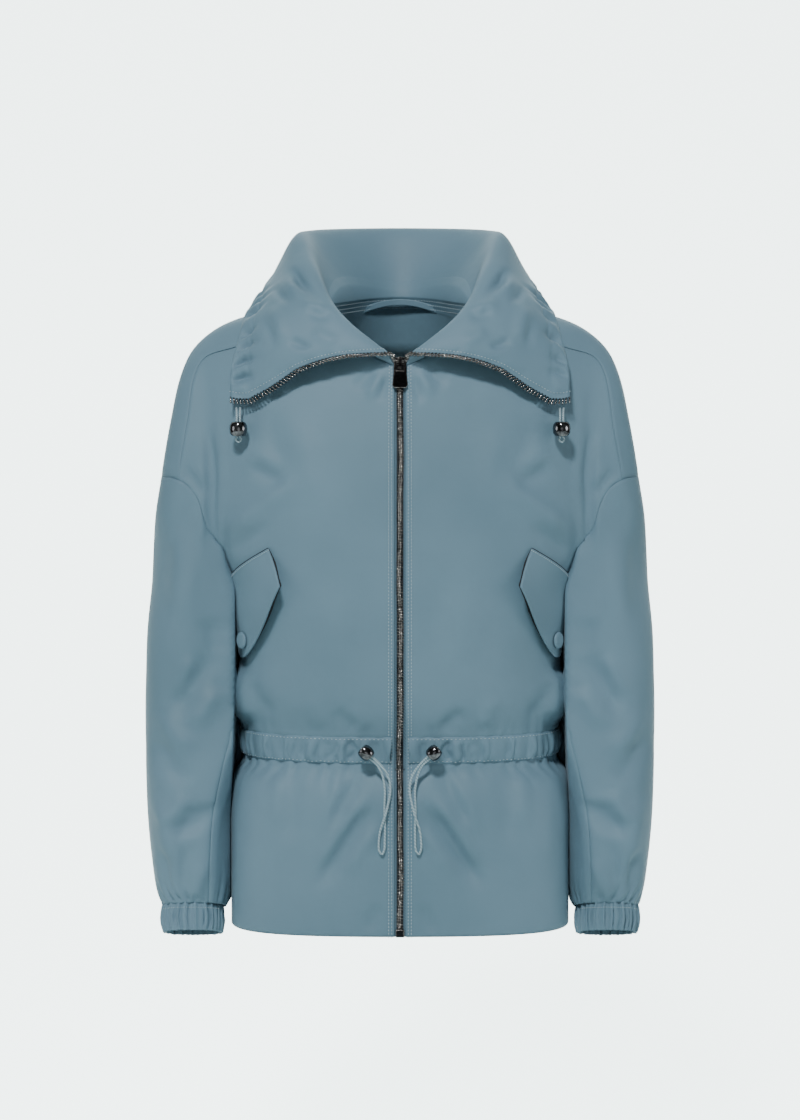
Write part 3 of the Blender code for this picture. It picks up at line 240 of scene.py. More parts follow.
@dataclass
class ClothGrid:
    """Rows and columns of points over a piece of cloth, facing out.

    Attributes:
        points: The points by row, column and coordinate.
        facing: 1 if columns crossed with rows point out of the cloth, else -1.
        closed: Whether the last column is the first one again.
    """

    points: np.ndarray
    facing: float
    closed: bool = False

    def normals(self) -> np.ndarray:
        """Outward directions at every point."""
        p = self.points
        rows = np.gradient(p, axis=0)
        if self.closed:
            ring = np.concatenate([p[:, -2:-1], p, p[:, 1:2]], axis=1)
            columns = np.gradient(ring, axis=1)[:, 1:-1]
        else:
            columns = np.gradient(p, axis=1)
        return self.facing * unit(np.cross(columns, rows))

    def lengths(self) -> tuple[np.ndarray, np.ndarray]:
        """Distances along each row and down each column, at every point."""
        p = self.points
        across = np.linalg.norm(np.diff(p, axis=1, prepend=p[:, :1]), axis=2)
        along = np.linalg.norm(np.diff(p, axis=0, prepend=p[:1]), axis=2)
        return np.cumsum(across, axis=1), np.cumsum(along, axis=0)

    def inward(self) -> np.ndarray:
        """Distances of all points from the nearer end of their rows."""
        across, _ = self.lengths()
        return np.minimum(across, across[:, -1:] - across)

    def level(self, row: int) -> np.ndarray:
        """Places across every row, drawn to the length of one row, so that folds run down the columns."""
        across, _ = self.lengths()
        return across / across[:, -1:] * across[row, -1]

    def restarted(self, starts: np.ndarray) -> ClothGrid:
        """A ring of cloth whose rows start elsewhere along themselves, so that its seam is moved."""
        rows = []
        for line, start in zip(self.points, starts):
            run = run_of(line)
            rows.append(values_at(run, line, (start + run) % run[-1]))
            rows[-1][-1] = rows[-1][0]
        return ClothGrid(np.array(rows), self.facing)

    def finer(self, step: float) -> ClothGrid:
        """The same cloth with points about a step apart."""
        p = self.points
        weights = []
        for axis in (0, 1):
            gap = np.linalg.norm(np.diff(p, axis=axis), axis=2).mean(axis=1 - axis)
            knots = np.concatenate([[0.0], np.cumsum(gap)])
            at = np.linspace(0.0, knots[-1], max(2, math.ceil(knots[-1] / step)) + 1)
            if axis == 1 and self.closed:
                extra = 4
                n = len(gap)
                before, after = knots[n - extra : n] - knots[-1], knots[1 : extra + 1] + knots[-1]
                ring = np.concatenate([before, knots, after])
                wide = spline_weights(ring, at)
                fold = np.zeros((len(ring), n + 1))
                fold[np.arange(len(ring)), (np.arange(len(ring)) - extra) % n] = 1.0
                weights.append(wide @ fold)
            else:
                weights.append(spline_weights(knots, at))
        fine = np.einsum("ar,rcd->acd", weights[0], p)
        return ClothGrid(np.einsum("bc,acd->abd", weights[1], fine), self.facing, self.closed)

    def moved(self, amount: np.ndarray) -> ClothGrid:
        """The cloth with every point moved out by its own amount."""
        return ClothGrid(self.points + self.normals() * amount[..., None], self.facing, self.closed)

    def mirrored(self) -> ClothGrid:
        """The same cloth on the wearer's other side."""
        return ClothGrid(self.points * [-1.0, 1.0, 1.0], -self.facing, self.closed)

    def on(self, side: Side) -> ClothGrid:
        """The cloth of a left piece, or its twin on the right."""
        return self if side is Side.LEFT else self.mirrored()

    def from_edge(self, edge: Edge) -> tuple[np.ndarray, np.ndarray]:
        """Points and outward directions, as rows that lead away from one edge."""
        p, n = (np.moveaxis(a, edge.axis, 0) for a in (self.points, self.normals()))
        return (p, n) if edge.first else (p[::-1], n[::-1])

    def turned_under(self, edge: Edge, reach: float | np.ndarray, drop: float) -> ClothGrid:
        """The cloth with one edge drawn on and folded under, as at a seam.

        Args:
            edge: The edge that is folded.
            reach: How far it goes on past its place, everywhere or at each point of the edge.
            drop: How far it goes under.

        Returns:
            The grid with one more row or column.
        """
        p, n = self.from_edge(edge)
        rim = p[0] + unit(p[0] - p[1]) * reach - n[0] * drop
        rolled = p[0] - n[0] * drop * ROLL
        turned = np.concatenate([[rim, rolled], p[1:]])
        if not edge.first:
            turned = turned[::-1]
        return ClothGrid(np.moveaxis(turned, 0, edge.axis), self.facing, self.closed)

    def line_in(self, edge: Edge, inward: float) -> np.ndarray:
        """A line for stitches, just off the cloth, at a distance in from one edge."""
        p, n = self.from_edge(edge)
        line = []
        for k in range(p.shape[1]):
            run = run_of(p[:, k])
            line.append(values_at(run, p[:, k], inward) + THREAD_LIFT * unit(values_at(run, n[:, k], inward)))
        return np.array(line)

    def piece(self, name: str, material: Material, thick: float) -> Object:
        """A mesh of the cloth, with its wall to the inside and a weave map in metres.

        Args:
            name: The new object's name.
            material: Its cloth.
            thick: The thickness of the wall.

        Returns:
            The object, linked to the scene.
        """
        rows, columns = self.points.shape[:2]
        across, along = self.lengths()
        wrap = columns - 1 if self.closed else columns
        kept = self.points[:, :wrap].reshape(-1, 3)
        r, c = np.meshgrid(np.arange(rows - 1), np.arange(columns - 1), indexing="ij")
        corners = [(r, c), (r, c + 1), (r + 1, c + 1), (r + 1, c)]
        if self.facing < 0:
            corners = corners[::-1]
        faces = np.stack([(a * wrap + b % wrap).ravel() for a, b in corners], axis=1)
        mesh = bpy.data.meshes.new(name)
        mesh.from_pydata(kept.tolist(), [], faces.tolist())
        weave = mesh.uv_layers.new(name="weave")
        u = np.stack([across[a, b].ravel() for a, b in corners], axis=1)
        v = np.stack([along[a, b].ravel() for a, b in corners], axis=1)
        weave.data.foreach_set("uv", np.stack([u, v], axis=-1).ravel())
        mesh.polygons.foreach_set("use_smooth", np.ones(len(faces), bool))
        mesh.materials.append(material)
        made = place(name, mesh)
        wall = made.modifiers.new("Wall", "SOLIDIFY")
        wall.thickness = thick
        wall.offset = -1.0
        return made


def place(name: str, data: ID) -> Object:
    """Link new data to the scene as an object at the origin."""
    made = bpy.data.objects.new(name, data)
    bpy.context.scene.collection.objects.link(made)
    return made


def flood(start: BMFace) -> list[BMFace]:
    """All faces that hang together with one."""
    seen, queue = {start}, [start]
    while queue:
        for edge in queue.pop().edges:
            for face in edge.link_faces:
                if face not in seen:
                    seen.add(face)
                    queue.append(face)
    return list(seen)


def spread_split(face: BMFace, edge: BMEdge) -> dict[BMFace, BMEdge]:
    """Carry one triangle's diagonal over a grid whose squares are all split the same way.

    Across a grid edge the diagonal ends at the edge's other corner.

    Args:
        face: The first triangle.
        edge: The edge that is taken as its diagonal.

    Returns:
        A diagonal for each triangle.
    """
    split, queue = {face: edge}, [face]
    while queue:
        face = queue.pop()
        for edge in face.edges:
            for other in edge.link_faces:
                if other in split:
                    continue
                if edge is split[face]:
                    split[other] = edge
                else:
                    shared = next(v for v in edge.verts if v in split[face].verts)
                    far = edge.other_vert(shared)
                    tip = next(v for v in other.verts if v not in edge.verts)
                    split[other] = next(e for e in other.edges if far in e.verts and tip in e.verts)
                queue.append(other)
    return split


def diagonals(faces: Sequence[BMFace]) -> list[BMEdge]:
    """The edges that split the squares of a triangulated grid.

    Args:
        faces: The grid's triangles.

    Returns:
        One edge for each square, so half as many as there are triangles.
    """
    tries = [set(spread_split(faces[0], edge).values()) for edge in faces[0].edges]
    return list(next(found for found in tries if 2 * len(found) == len(faces)))


def walk(start: BMVert, then: BMVert) -> list[BMVert]:
    """Corners along the border from one to the next corner of the cloth, or round to the first."""
    line = [start, then]
    while len(line[-1].link_faces) > 1 and line[-1] is not start:
        nxt = [
            e.other_vert(line[-1])
            for e in line[-1].link_edges
            if e.is_boundary and e.other_vert(line[-1]) is not line[-2]
        ]
        line.append(nxt[0])
    return line


@dataclass(frozen=True)
class Wall:
    """A CAD wall whose outer face is read back as a grid.

    Attributes:
        node: The CAD node's name.
        thick: The wall's thickness.
        outward: A direction in which the outer face reaches furthest.
        first: A point near the grid's first corner.
        columns: How many columns of points the wall has, counting a closed ring's first one twice.
        step: The distance between points of the finer grid.
    """

    node: str
    thick: float
    outward: Point
    first: Point
    columns: int
    step: float

    def read(self) -> ClothGrid:
        """The outer face as a fine grid, with rows counted from the first corner."""
        bm = bmesh.new()
        bm.from_mesh(bpy.data.objects[self.node].data)
        bmesh.ops.remove_doubles(bm, verts=bm.verts[:], dist=WELD)
        rim = [f for f in bm.faces if min(e.calc_length() for e in f.edges) < RIM_SHARE * self.thick]
        bmesh.ops.delete(bm, geom=rim, context="FACES")
        reach = Vector(self.outward)
        outer = flood(max(bm.faces, key=lambda f: f.calc_center_median().dot(reach)))
        rest = set(bm.faces) - set(outer)
        bmesh.ops.delete(bm, geom=list(rest), context="FACES")
        bmesh.ops.dissolve_edges(bm, edges=diagonals(bm.faces[:]), use_verts=False)
        border = [v for v in bm.verts if v.is_boundary]
        ends = [v for v in border if len(v.link_faces) == 1]
        near = Vector(self.first)
        start = min(ends or border, key=lambda v: (v.co - near).length)
        ways = [e.other_vert(start) for e in start.link_edges if e.is_boundary]
        row = next(line for line in (walk(start, w) for w in ways) if len(line) == self.columns)
        rows, used = [row], set()
        while True:
            after = []
            for a, b in zip(rows[-1], rows[-1][1:]):
                above = [f for f in a.link_faces if b in f.verts and f not in used]
                if not above:
                    break
                used.add(above[0])
                ring = [e for e in above[0].edges if not (a in e.verts and b in e.verts)]
                if not after:
                    after.append(next(e.other_vert(a) for e in ring if a in e.verts))
                after.append(next(e.other_vert(b) for e in ring if b in e.verts))
            if len(after) < self.columns:
                break
            rows.append(after)
        points = np.array([[v.co[:] for v in line] for line in rows])
        face = next(f for f in bm.faces if rows[0][0] in f.verts and rows[0][1] in f.verts)
        turn = np.cross(points[0, 1] - points[0, 0], points[1, 0] - points[0, 0])
        facing = 1.0 if float(np.dot(turn, face.normal[:])) > 0 else -1.0
        bm.free()
        return ClothGrid(points, facing, closed=not ends).finer(self.step)


@dataclass(frozen=True)
class Crease:
    """One soft fold, placed as it is seen from the front or the rear of the +X half, in millimetres.

    Attributes:
        line: Points (from the middle, height) that it runs through.
        width: Its half width.
        height: How far it stands out, or in if negative.
        view: The side that it is on.
        lean: Above 0 its outer flank is the steep one, below 0 the inner one.
        fade: Share of its length over which each end dies away.
        steady: Whether it lies the same on both sides and runs on over seams.
    """

    line: Pairs
    width: float
    height: float
    view: View = View.FRONT
    lean: float = 0.0
    fade: float = 0.35
    steady: bool = False

    def heights(
        self, points: np.ndarray, normals: np.ndarray, side: int, rng: np.random.Generator
    ) -> np.ndarray:
        """How far each point of a cloth moves for this fold.

        Args:
            points: The cloth's points in metres.
            normals: Outward directions there.
            side: 1 on the wearer's left, -1 on the right, 0 for both at once.
            rng: Gives the small differences between two sides.

        Returns:
            Moves in metres.
        """
        strength = 1.0 + CREASE_SPREAD * rng.uniform(-1, 1)
        shift = CREASE_SHIFT * rng.uniform(-1, 1, 2)
        if self.steady:
            strength, shift = 1.0, np.zeros(2)
        x = points[..., 0] / MM * side if side else np.abs(points[..., 0]) / MM
        place_at = np.stack([x, points[..., 2] / MM], axis=-1) + shift
        knots = np.array(self.line, float)
        run = run_of(knots)
        best = np.full(place_at.shape[:2], 1e9)
        across, share = np.zeros_like(best), np.zeros_like(best)
        for k, (a, b) in enumerate(zip(knots, knots[1:])):
            d = b - a
            t = np.clip(((place_at - a) @ d) / (d @ d), 0.0, 1.0)
            gap = place_at - a - t[..., None] * d
            off = np.linalg.norm(gap, axis=-1)
            near = off < best
            best = np.where(near, off, best)
            sign = np.sign(d[0] * gap[..., 1] - d[1] * gap[..., 0])
            across = np.where(near, sign * off, across)
            share = np.where(near, (run[k] + t * (run[k + 1] - run[k])) / run[-1], share)
        width = self.width * (1.0 + self.lean * np.sign(across) * LEAN_SHARE)
        ends = ease(share / self.fade) * ease((1 - share) / self.fade)
        facing = ease((normals[..., 1] * self.view.value - TURNED_AWAY) / TURNED_OVER)
        return self.height * MM * strength * np.exp(-((across / width) ** 2)) * ends * facing


def fold_moves(
    creases: Sequence[Crease], grid: ClothGrid, normals: np.ndarray, side: int, rng: np.random.Generator
) -> np.ndarray:
    """How far each point of a cloth moves for all of some folds, with the arguments of Crease.heights."""
    return sum(crease.heights(grid.points, normals, side, rng) for crease in creases)


# folds that hang from the shoulder over the armhole seam, shared by the fronts and the sleeves
ARMHOLE_FOLDS = (
    Crease(
        ((191, -104), (186, -132), (183, -160), (184.5, -190), (184, -225), (179.5, -253), (172, -282)),
        5.5, -3.2, lean=0.35, fade=0.22, steady=True,
    ),
    Crease(
        ((199, -108), (194, -140), (191.5, -170), (193, -205), (191, -235), (186, -262)),
        7.0, 2.2, fade=0.3, steady=True,
    ),
    Crease(((215, -152), (201, -168), (189, -186)), 5.5, -3.0, lean=-0.2, steady=True),
    Crease(((208, -150), (196, -164), (184, -178)), 5.0, 2.2, steady=True),
    Crease(((196, -300), (186, -318), (178, -342)), 7.0, -2.6, steady=True),
)


@dataclass(frozen=True)
class Gathers:
    """Uneven little folds that run away from a gathered line.

    Attributes:
        pitch: Usual distance from one to the next.
        depth: How far they go in and stand out.
        reach: How far they run from the line before they have mostly died away.
        seed: Fixes their unevenness.
    """

    pitch: float
    depth: float
    reach: float
    seed: int

    def shifted(self, step: int) -> Gathers:
        """The same kind of folds, uneven in another way."""
        return replace(self, seed=self.seed + step)

    def heights(self, along: np.ndarray, away: np.ndarray) -> np.ndarray:
        """Moves of points at places along the gathered line and distances away from it."""
        rng = np.random.default_rng(self.seed)
        low, high = float(along.min()), float(along.max())
        out = np.zeros_like(along)
        at = low - self.pitch * rng.uniform(0.2, 0.8)
        while at < high + self.pitch:
            width = self.pitch * rng.uniform(0.20, 0.38)
            depth = self.depth * rng.uniform(0.35, 1.25)
            reach = self.reach * rng.uniform(0.45, 1.4)
            drift = rng.uniform(-0.22, 0.22)
            fall = np.exp(-np.clip(away / reach, 0.0, None) ** FALL)
            groove = np.exp(-(((along - at - drift * away) / width) ** 2))
            ridge = np.exp(-(((along - at - drift * away - RIDGE_OFF * width) / width) ** 2))
            out += depth * fall * (RIDGE_SHARE * ridge - groove)
            at += self.pitch * rng.uniform(0.55, 1.5)
        return out


@dataclass(frozen=True)
class Pleats(Gathers):
    """Gathers that are drawn tight: puffed cloth between sharp grooves."""

    def heights(self, along: np.ndarray, away: np.ndarray) -> np.ndarray:
        """Moves of points at places along the gathered line and distances away from it."""
        rng = np.random.default_rng(self.seed)
        low, high = float(along.min()) - PLEAT_MARGIN, float(along.max()) + PLEAT_MARGIN
        count = int((high - low) / self.pitch) + 2
        ends = low + np.cumsum(self.pitch * rng.uniform(0.55, 1.45, count))
        depth = self.depth * rng.uniform(0.45, 1.3, count)
        reach = self.reach * rng.uniform(0.5, 1.35, count)
        slant, limit, wave = PLEAT_SWAY
        place_at = along + slant * np.minimum(away, limit) * np.sin(along / wave)
        k = np.clip(np.searchsorted(ends, place_at), 1, count - 1)
        before, after = place_at - ends[k - 1], ends[k] - place_at
        puff = PLEAT_PUFF * self.depth * np.sin(math.pi * before / (before + after))
        out = puff * np.exp(-((away / self.reach) ** FALL))
        for gap, j in ((before, k - 1), (after, k)):
            groove = np.exp(-((np.abs(gap) / (PLEAT_HALF * self.pitch)) ** PLEAT_POINT))
            out -= depth[j] * groove * np.exp(-((away / reach[j]) ** FALL))
        return out


@dataclass(frozen=True)
class Finish:
    """What every finish has: a name and a Principled shader to fill in."""

    name: str

    def start(self) -> tuple[Material, Node, NodeOutputs]:
        """A new material, its Principled node and the coordinates that its patterns read."""
        material = bpy.data.materials.new(self.name)
        material.use_nodes = True
        coordinates = add_node(material.node_tree, "ShaderNodeTexCoord")
        return material, material.node_tree.nodes["Principled BSDF"], coordinates.outputs


@dataclass(frozen=True)
class WovenPolyester(Finish):
    """Close-woven matt polyester: an even dusty blue with a faint weave and a soft, broad sheen."""

    dark: str = "567382"
    pale: str = "668394"
    thread: float = 0.0011  # the real threads are 0.2 mm apart, too fine to show, so they are drawn coarser
    weave_tone: float = 0.18
    weave_depth: float = 0.00006
    crumple: float = 0.032
    crumple_depth: float = 0.0018
    clouds: float = 6.0  # patches of tone in a metre
    rough: float = 0.62
    rough_spread: float = 0.06
    sheen: str = "C9D8DE"

    def material(self) -> Material:
        """The finish as a material."""
        material, shader, where = self.start()
        tree = material.node_tree
        lines = {"Vector": where["UV"], "Scale": WAVE_REPEAT / self.thread, "Distortion": 0.4, "Detail": 1.0}
        warp, weft = (add_node(tree, "ShaderNodeTexWave", lines, bands_direction=way) for way in "XY")
        crossed = {0: warp.outputs["Fac"], 1: weft.outputs["Fac"]}
        weave = add_node(tree, "ShaderNodeMath", crossed, operation="MULTIPLY")
        broad = {"Vector": where["Object"], "Scale": 1 / self.crumple, "Detail": 2.0, "Roughness": 0.5}
        soft = add_node(tree, "ShaderNodeTexNoise", broad)
        patches = {"Vector": where["Object"], "Scale": self.clouds, "Detail": 3.0, "Roughness": 0.55}
        cloud = add_node(tree, "ShaderNodeTexNoise", patches)
        mixed = {0: weave.outputs[0], 1: self.weave_tone, 2: cloud.outputs["Fac"]}
        tone = add_node(tree, "ShaderNodeMath", mixed, operation="MULTIPLY_ADD", use_clamp=True)
        ramp = add_node(tree, "ShaderNodeValToRGB", {0: tone.outputs[0]}, {0.25: self.dark, 0.85: self.pale})
        spread = {"To Min": self.rough - self.rough_spread, "To Max": self.rough + self.rough_spread}
        gloss = add_node(tree, "ShaderNodeMapRange", {"Value": cloud.outputs["Fac"], **spread})
        raised = {"Strength": 0.5, "Distance": self.weave_depth, "Height": weave.outputs[0]}
        fine = add_node(tree, "ShaderNodeBump", raised)
        rumpled = {"Strength": 0.5, "Distance": self.crumple_depth, "Height": soft.outputs["Fac"]}
        bump = add_node(tree, "ShaderNodeBump", {**rumpled, "Normal": fine.outputs[0]})
        fill(shader, {"Base Color": ramp.outputs[0], "Roughness": gloss.outputs[0]})
        fill(shader, {"Normal": bump.outputs[0], "IOR": 1.5, "Specular IOR Level": 0.35})
        fill(shader, {"Sheen Weight": 0.08, "Sheen Roughness": 0.45, "Sheen Tint": linear(self.sheen)})
        return material


@dataclass(frozen=True)
class TwillTape(Finish):
    """Woven zip tape: darker than the cloth, with a close diagonal rib and no sheen."""

    dark: str = "3F5866"
    pale: str = "547080"
    rib: float = 0.0012
    depth: float = 0.0002
    bump: float = 0.6
    waver: float = 0.0
    fuzz: float = 2.0
    rough: float = 0.8
    sheen: float = 0.0

    def material(self) -> Material:
        """The finish as a material."""
        material, shader, where = self.start()
        tree = material.node_tree
        ribs = {"Vector": where["Object"], "Scale": WAVE_REPEAT / self.rib, "Distortion": self.waver}
        rib = add_node(tree, "ShaderNodeTexWave", {**ribs, "Detail": self.fuzz}, bands_direction="DIAGONAL")
        ramp = add_node(tree, "ShaderNodeValToRGB", {0: rib.outputs["Fac"]}, {0.0: self.dark, 1.0: self.pale})
        raised = {"Strength": self.bump, "Distance": self.depth, "Height": rib.outputs["Fac"]}
        bump = add_node(tree, "ShaderNodeBump", raised)
        fill(shader, {"Base Color": ramp.outputs[0], "Normal": bump.outputs[0]})
        fill(shader, {"Roughness": self.rough, "Sheen Weight": self.sheen})
        return material


@dataclass(frozen=True)
class BraidedElastic(TwillTape):
    """Braided elastic cord: the cloth's blue, a little paler, with a fine slanting braid and a soft sheen."""

    dark: str = "6B8793"
    pale: str = "9DB4BD"
    rib: float = 0.0016
    bump: float = 0.7
    waver: float = 1.5
    fuzz: float = 1.0
    rough: float = 0.6
    sheen: float = 0.2


@dataclass(frozen=True)
class BlackNickel(Finish):
    """Black nickel plate on tumbled zinc: dark and mirror-like, with fine wear that breaks the shine."""

    dark: str = "17181A"
    pale: str = "26272A"
    wear: float = 0.0024
    low: float = 0.10
    high: float = 0.18
    dents: float = 0.05
    dent_depth: float = 0.0001

    def material(self) -> Material:
        """The finish as a material."""
        material, shader, where = self.start()
        tree = material.node_tree
        marks = {"Vector": where["Object"], "Scale": 1 / self.wear, "Detail": 3.0, "Roughness": 0.6}
        wear_and_highlight = add_node(tree, "ShaderNodeTexNoise", marks).outputs["Fac"]
        ramp = add_node(tree, "ShaderNodeValToRGB", {0: wear_and_highlight}, {0.35: self.dark, 0.75: self.pale})
        gloss = add_node(tree, "ShaderNodeMapRange", {"Value": wear_and_highlight, "To Min": self.low, "To Max": self.high})
        dented = {"Strength": self.dents, "Distance": self.dent_depth, "Height": wear_and_highlight}
        bump = add_node(tree, "ShaderNodeBump", dented)
        fill(shader, {"Base Color": ramp.outputs[0], "Roughness": gloss.outputs[0]})
        fill(shader, {"Normal": bump.outputs[0], "Metallic": 1.0})
        return material


@dataclass(frozen=True)
class SewingThread(Finish):
    """Spun polyester thread: pale grey-blue and matt, with a slight twist."""

    dark: str = "8AA1AC"
    pale: str = "B4C5CC"
    twist: float = 0.0006
    rough: float = 0.7

    def material(self) -> Material:
        """The finish as a material."""
        material, shader, where = self.start()
        tree = material.node_tree
        twisted = {"Vector": where["Object"], "Scale": 1 / self.twist, "Detail": 1.0}
        twist = add_node(tree, "ShaderNodeTexNoise", twisted).outputs["Fac"]
        ramp = add_node(tree, "ShaderNodeValToRGB", {0: twist}, {0.3: self.dark, 0.7: self.pale})
        fill(shader, {"Base Color": ramp.outputs[0], "Roughness": self.rough})
        return material


@dataclass(frozen=True)
class PaleBackdrop(Finish):
    """Matt studio paper: an even, cool off-white that glows where a lamp stands behind it.

    It is clear from its rear, so that the wall doesn't hide the garment's back.
    """

    colour: str = "E9F5F3"
    glow: float = 0.0
    grain: float = 0.0025
    rough: tuple[float, float] = (0.88, 0.96)

    def material(self) -> Material:
        """The finish as a material."""
        material, shader, where = self.start()
        tree = material.node_tree
        fibres = {"Vector": where["Object"], "Scale": 1 / self.grain, "Detail": 1.0}
        grain = add_node(tree, "ShaderNodeTexNoise", fibres)
        spread = {"To Min": self.rough[0], "To Max": self.rough[1]}
        gloss = add_node(tree, "ShaderNodeMapRange", {"Value": grain.outputs["Fac"], **spread})
        fill(shader, {"Roughness": gloss.outputs[0], "Base Color": linear(self.colour)})
        fill(shader, {"Emission Color": linear(self.colour), "Emission Strength": self.glow})
        rear = add_node(tree, "ShaderNodeNewGeometry")
        clear = add_node(tree, "ShaderNodeBsdfTransparent")
        sides = {0: rear.outputs["Backfacing"], 1: shader.outputs[0], 2: clear.outputs[0]}
        sided = add_node(tree, "ShaderNodeMixShader", sides)
        fill(tree.nodes["Material Output"], {"Surface": sided.outputs[0]})
        return material


@dataclass
class Wardrobe:
    """The materials that the pieces are dressed in, each made once."""

    cloth: Material = field(default_factory=WovenPolyester("woven_polyester").material)
    tape: Material = field(default_factory=TwillTape("twill_tape").material)
    # the tape darkened: painted shade for the tape that shows in the gaps of the closed chain
    shaded_tape: Material = field(
        default_factory=TwillTape("shaded_tape", dark="1A2329", pale="27343B").material
    )
    metal: Material = field(default_factory=BlackNickel("black_nickel").material)
    # paler nickel for the zip teeth; also laid on the rounded edges of slider, box, pull and cord stops as a
    # painted highlight
    teeth: Material = field(
        default_factory=BlackNickel(
            "worn_nickel", dark="4C4A49", pale="BDBAB7", high=0.28, dents=0.25
        ).material
    )
    stops: Material = field(
        default_factory=BlackNickel("tumbled_nickel", dark="37383B", pale="8E8F92", wear=0.006).material
    )
    elastic: Material = field(default_factory=BraidedElastic("braided_elastic").material)
    thread: Material = field(default_factory=SewingThread("sewing_thread").material)
    # near-black cloth for the strip beside the pocket flaps: the pocket's inside, darkened as painted shadow
    # under the flap's free edge and along its sewn edge
    lining: Material = field(
        default_factory=TwillTape("pocket_lining", dark="10161A", pale="1A2329").material
    )


@dataclass
class Studio:
    """Camera, soft lights and a pale floor that turns up into a backdrop."""

    distance: float = 3.2
    elevation: float = math.radians(4.0)
    target: Point = (0.0, 0.0, -0.25)
    frame_height: float = 1.12  # what the picture's height takes in at the target
    sensor: float = 36.0
    floor: float = -1.0
    reach: float = 2.6  # how far the floor and the wall go
    back: float = 1.5
    cove: float = 0.9  # radius of the bend between them
    cove_points: int = 13
    lit_half: float = 0.9  # half width of the lit part
    glow: float = 4.0
    surround: str = "EEF3F3"
    surround_strength: float = 0.08
    # name, place, size and power of each lamp
    lamps: tuple[tuple[str, Point, float, float], ...] = (
        ("key", (-0.6, -2.8, 2.7), 0.6, 165.0),
        ("left", (-2.5, -1.0, 0.0), 1.4, 12.0),
        ("right", (2.5, -1.0, 0.0), 1.4, 17.0),
        ("front", (0.3, -3.4, -0.4), 2.0, 6.0),
    )

    def camera(self) -> None:
        """The photograph's viewpoint."""
        data = bpy.data.cameras.new("camera")
        data.sensor_fit = "AUTO"
        data.sensor_width = self.sensor
        data.lens = self.sensor * self.distance / self.frame_height
        camera = place("camera", data)
        away = Vector((0.0, -math.cos(self.elevation), math.sin(self.elevation))) * self.distance
        camera.location = Vector(self.target) + away
        camera.rotation_euler = (-away).to_track_quat("-Z", "Y").to_euler()
        bpy.context.scene.camera = camera

    def backdrop(self) -> None:
        """Floor, cove and wall in one sheet, with the part behind the garment lit."""
        turn = np.linspace(0.0, math.pi / 2, self.cove_points)
        out = self.back - self.cove + self.cove * np.sin(turn)
        up = self.floor + self.cove * (1 - np.cos(turn))
        profile = [(-self.reach, self.floor), *zip(out.tolist(), up.tolist()), (self.back, self.reach)]
        across = (-self.reach, -self.lit_half, self.lit_half, self.reach)
        points = [(x, y, z) for y, z in profile for x in across]
        wide = len(across)
        faces = [
            (r * wide + c, r * wide + c + 1, (r + 1) * wide + c + 1, (r + 1) * wide + c)
            for r in range(len(profile) - 1)
            for c in range(wide - 1)
        ]
        mesh = bpy.data.meshes.new("backdrop")
        mesh.from_pydata(points, [], faces)
        mesh.materials.append(PaleBackdrop("studio_paper").material())
        mesh.materials.append(PaleBackdrop("lit_paper", glow=self.glow).material())
        for k, face in enumerate(mesh.polygons):
            face.use_smooth = True
            face.material_index = int(k // (wide - 1) > 0 and k % (wide - 1) == 1)
        place("backdrop", mesh)

    def lights(self) -> None:
        """Soft lights from above, from both sides and from the camera, and a dim surround."""
        for name, at, size, power in self.lamps:
            data = bpy.data.lights.new(name, "AREA")
            data.shape = "DISK"
            data.size = size
            data.energy = power
            light = place(name, data)
            light.location = at
            light.rotation_euler = (Vector(self.target) - Vector(at)).to_track_quat("-Z", "Y").to_euler()
            light.visible_camera = False
        world = bpy.data.worlds.new("surround")
        world.use_nodes = True
        fill(
            world.node_tree.nodes["Background"],
            {"Color": linear(self.surround), "Strength": self.surround_strength},
        )
        bpy.context.scene.world = world

    def build(self) -> None:
        """Set the whole studio up."""
        self.camera()
        self.backdrop()
        self.lights()


def settle(piece: Object, nodes: Sequence[str] = (), body: str = "garment") -> None:
    """Tie a finished piece to the frame.

    Args:
        piece: The piece.
        nodes: CAD nodes that it stands for.
        body: The body that it moves with.
    """
    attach(piece, body)
    if nodes:
        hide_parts(*nodes)
    log.info("%s on %s%s", piece.name, body, f", for {', '.join(nodes)}" if nodes else "")


@dataclass(frozen=True)
class Stitch:
    """A stitch in a row of thread.

    Attributes:
        pitch: Distance from one to the next.
        long: Length of a stitch.
        thick: Its thickness.
    """

    pitch: float
    long: float
    thick: float

    def shape(self, tree: NodeTree, given: NodeOutputs) -> tuple[NodeSocket, NodeSocket, NodeSocket]:
        """A shape of unit size, its real size and its turn, in a tree that is given the sizes."""
        ball = add_node(tree, "GeometryNodeMeshUVSphere", {"Segments": 6, "Rings": 4, "Radius": 0.5})
        sides = {"X": given["long"], "Y": given["thick"], "Z": given["thick"]}
        size = add_node(tree, "ShaderNodeCombineXYZ", sides)
        tangent = add_node(tree, "GeometryNodeInputTangent")
        turn = add_node(tree, "FunctionNodeAlignRotationToVector", {"Vector": tangent.outputs[0]}, axis="X")
        return ball.outputs[0], size.outputs[0], turn.outputs[0]


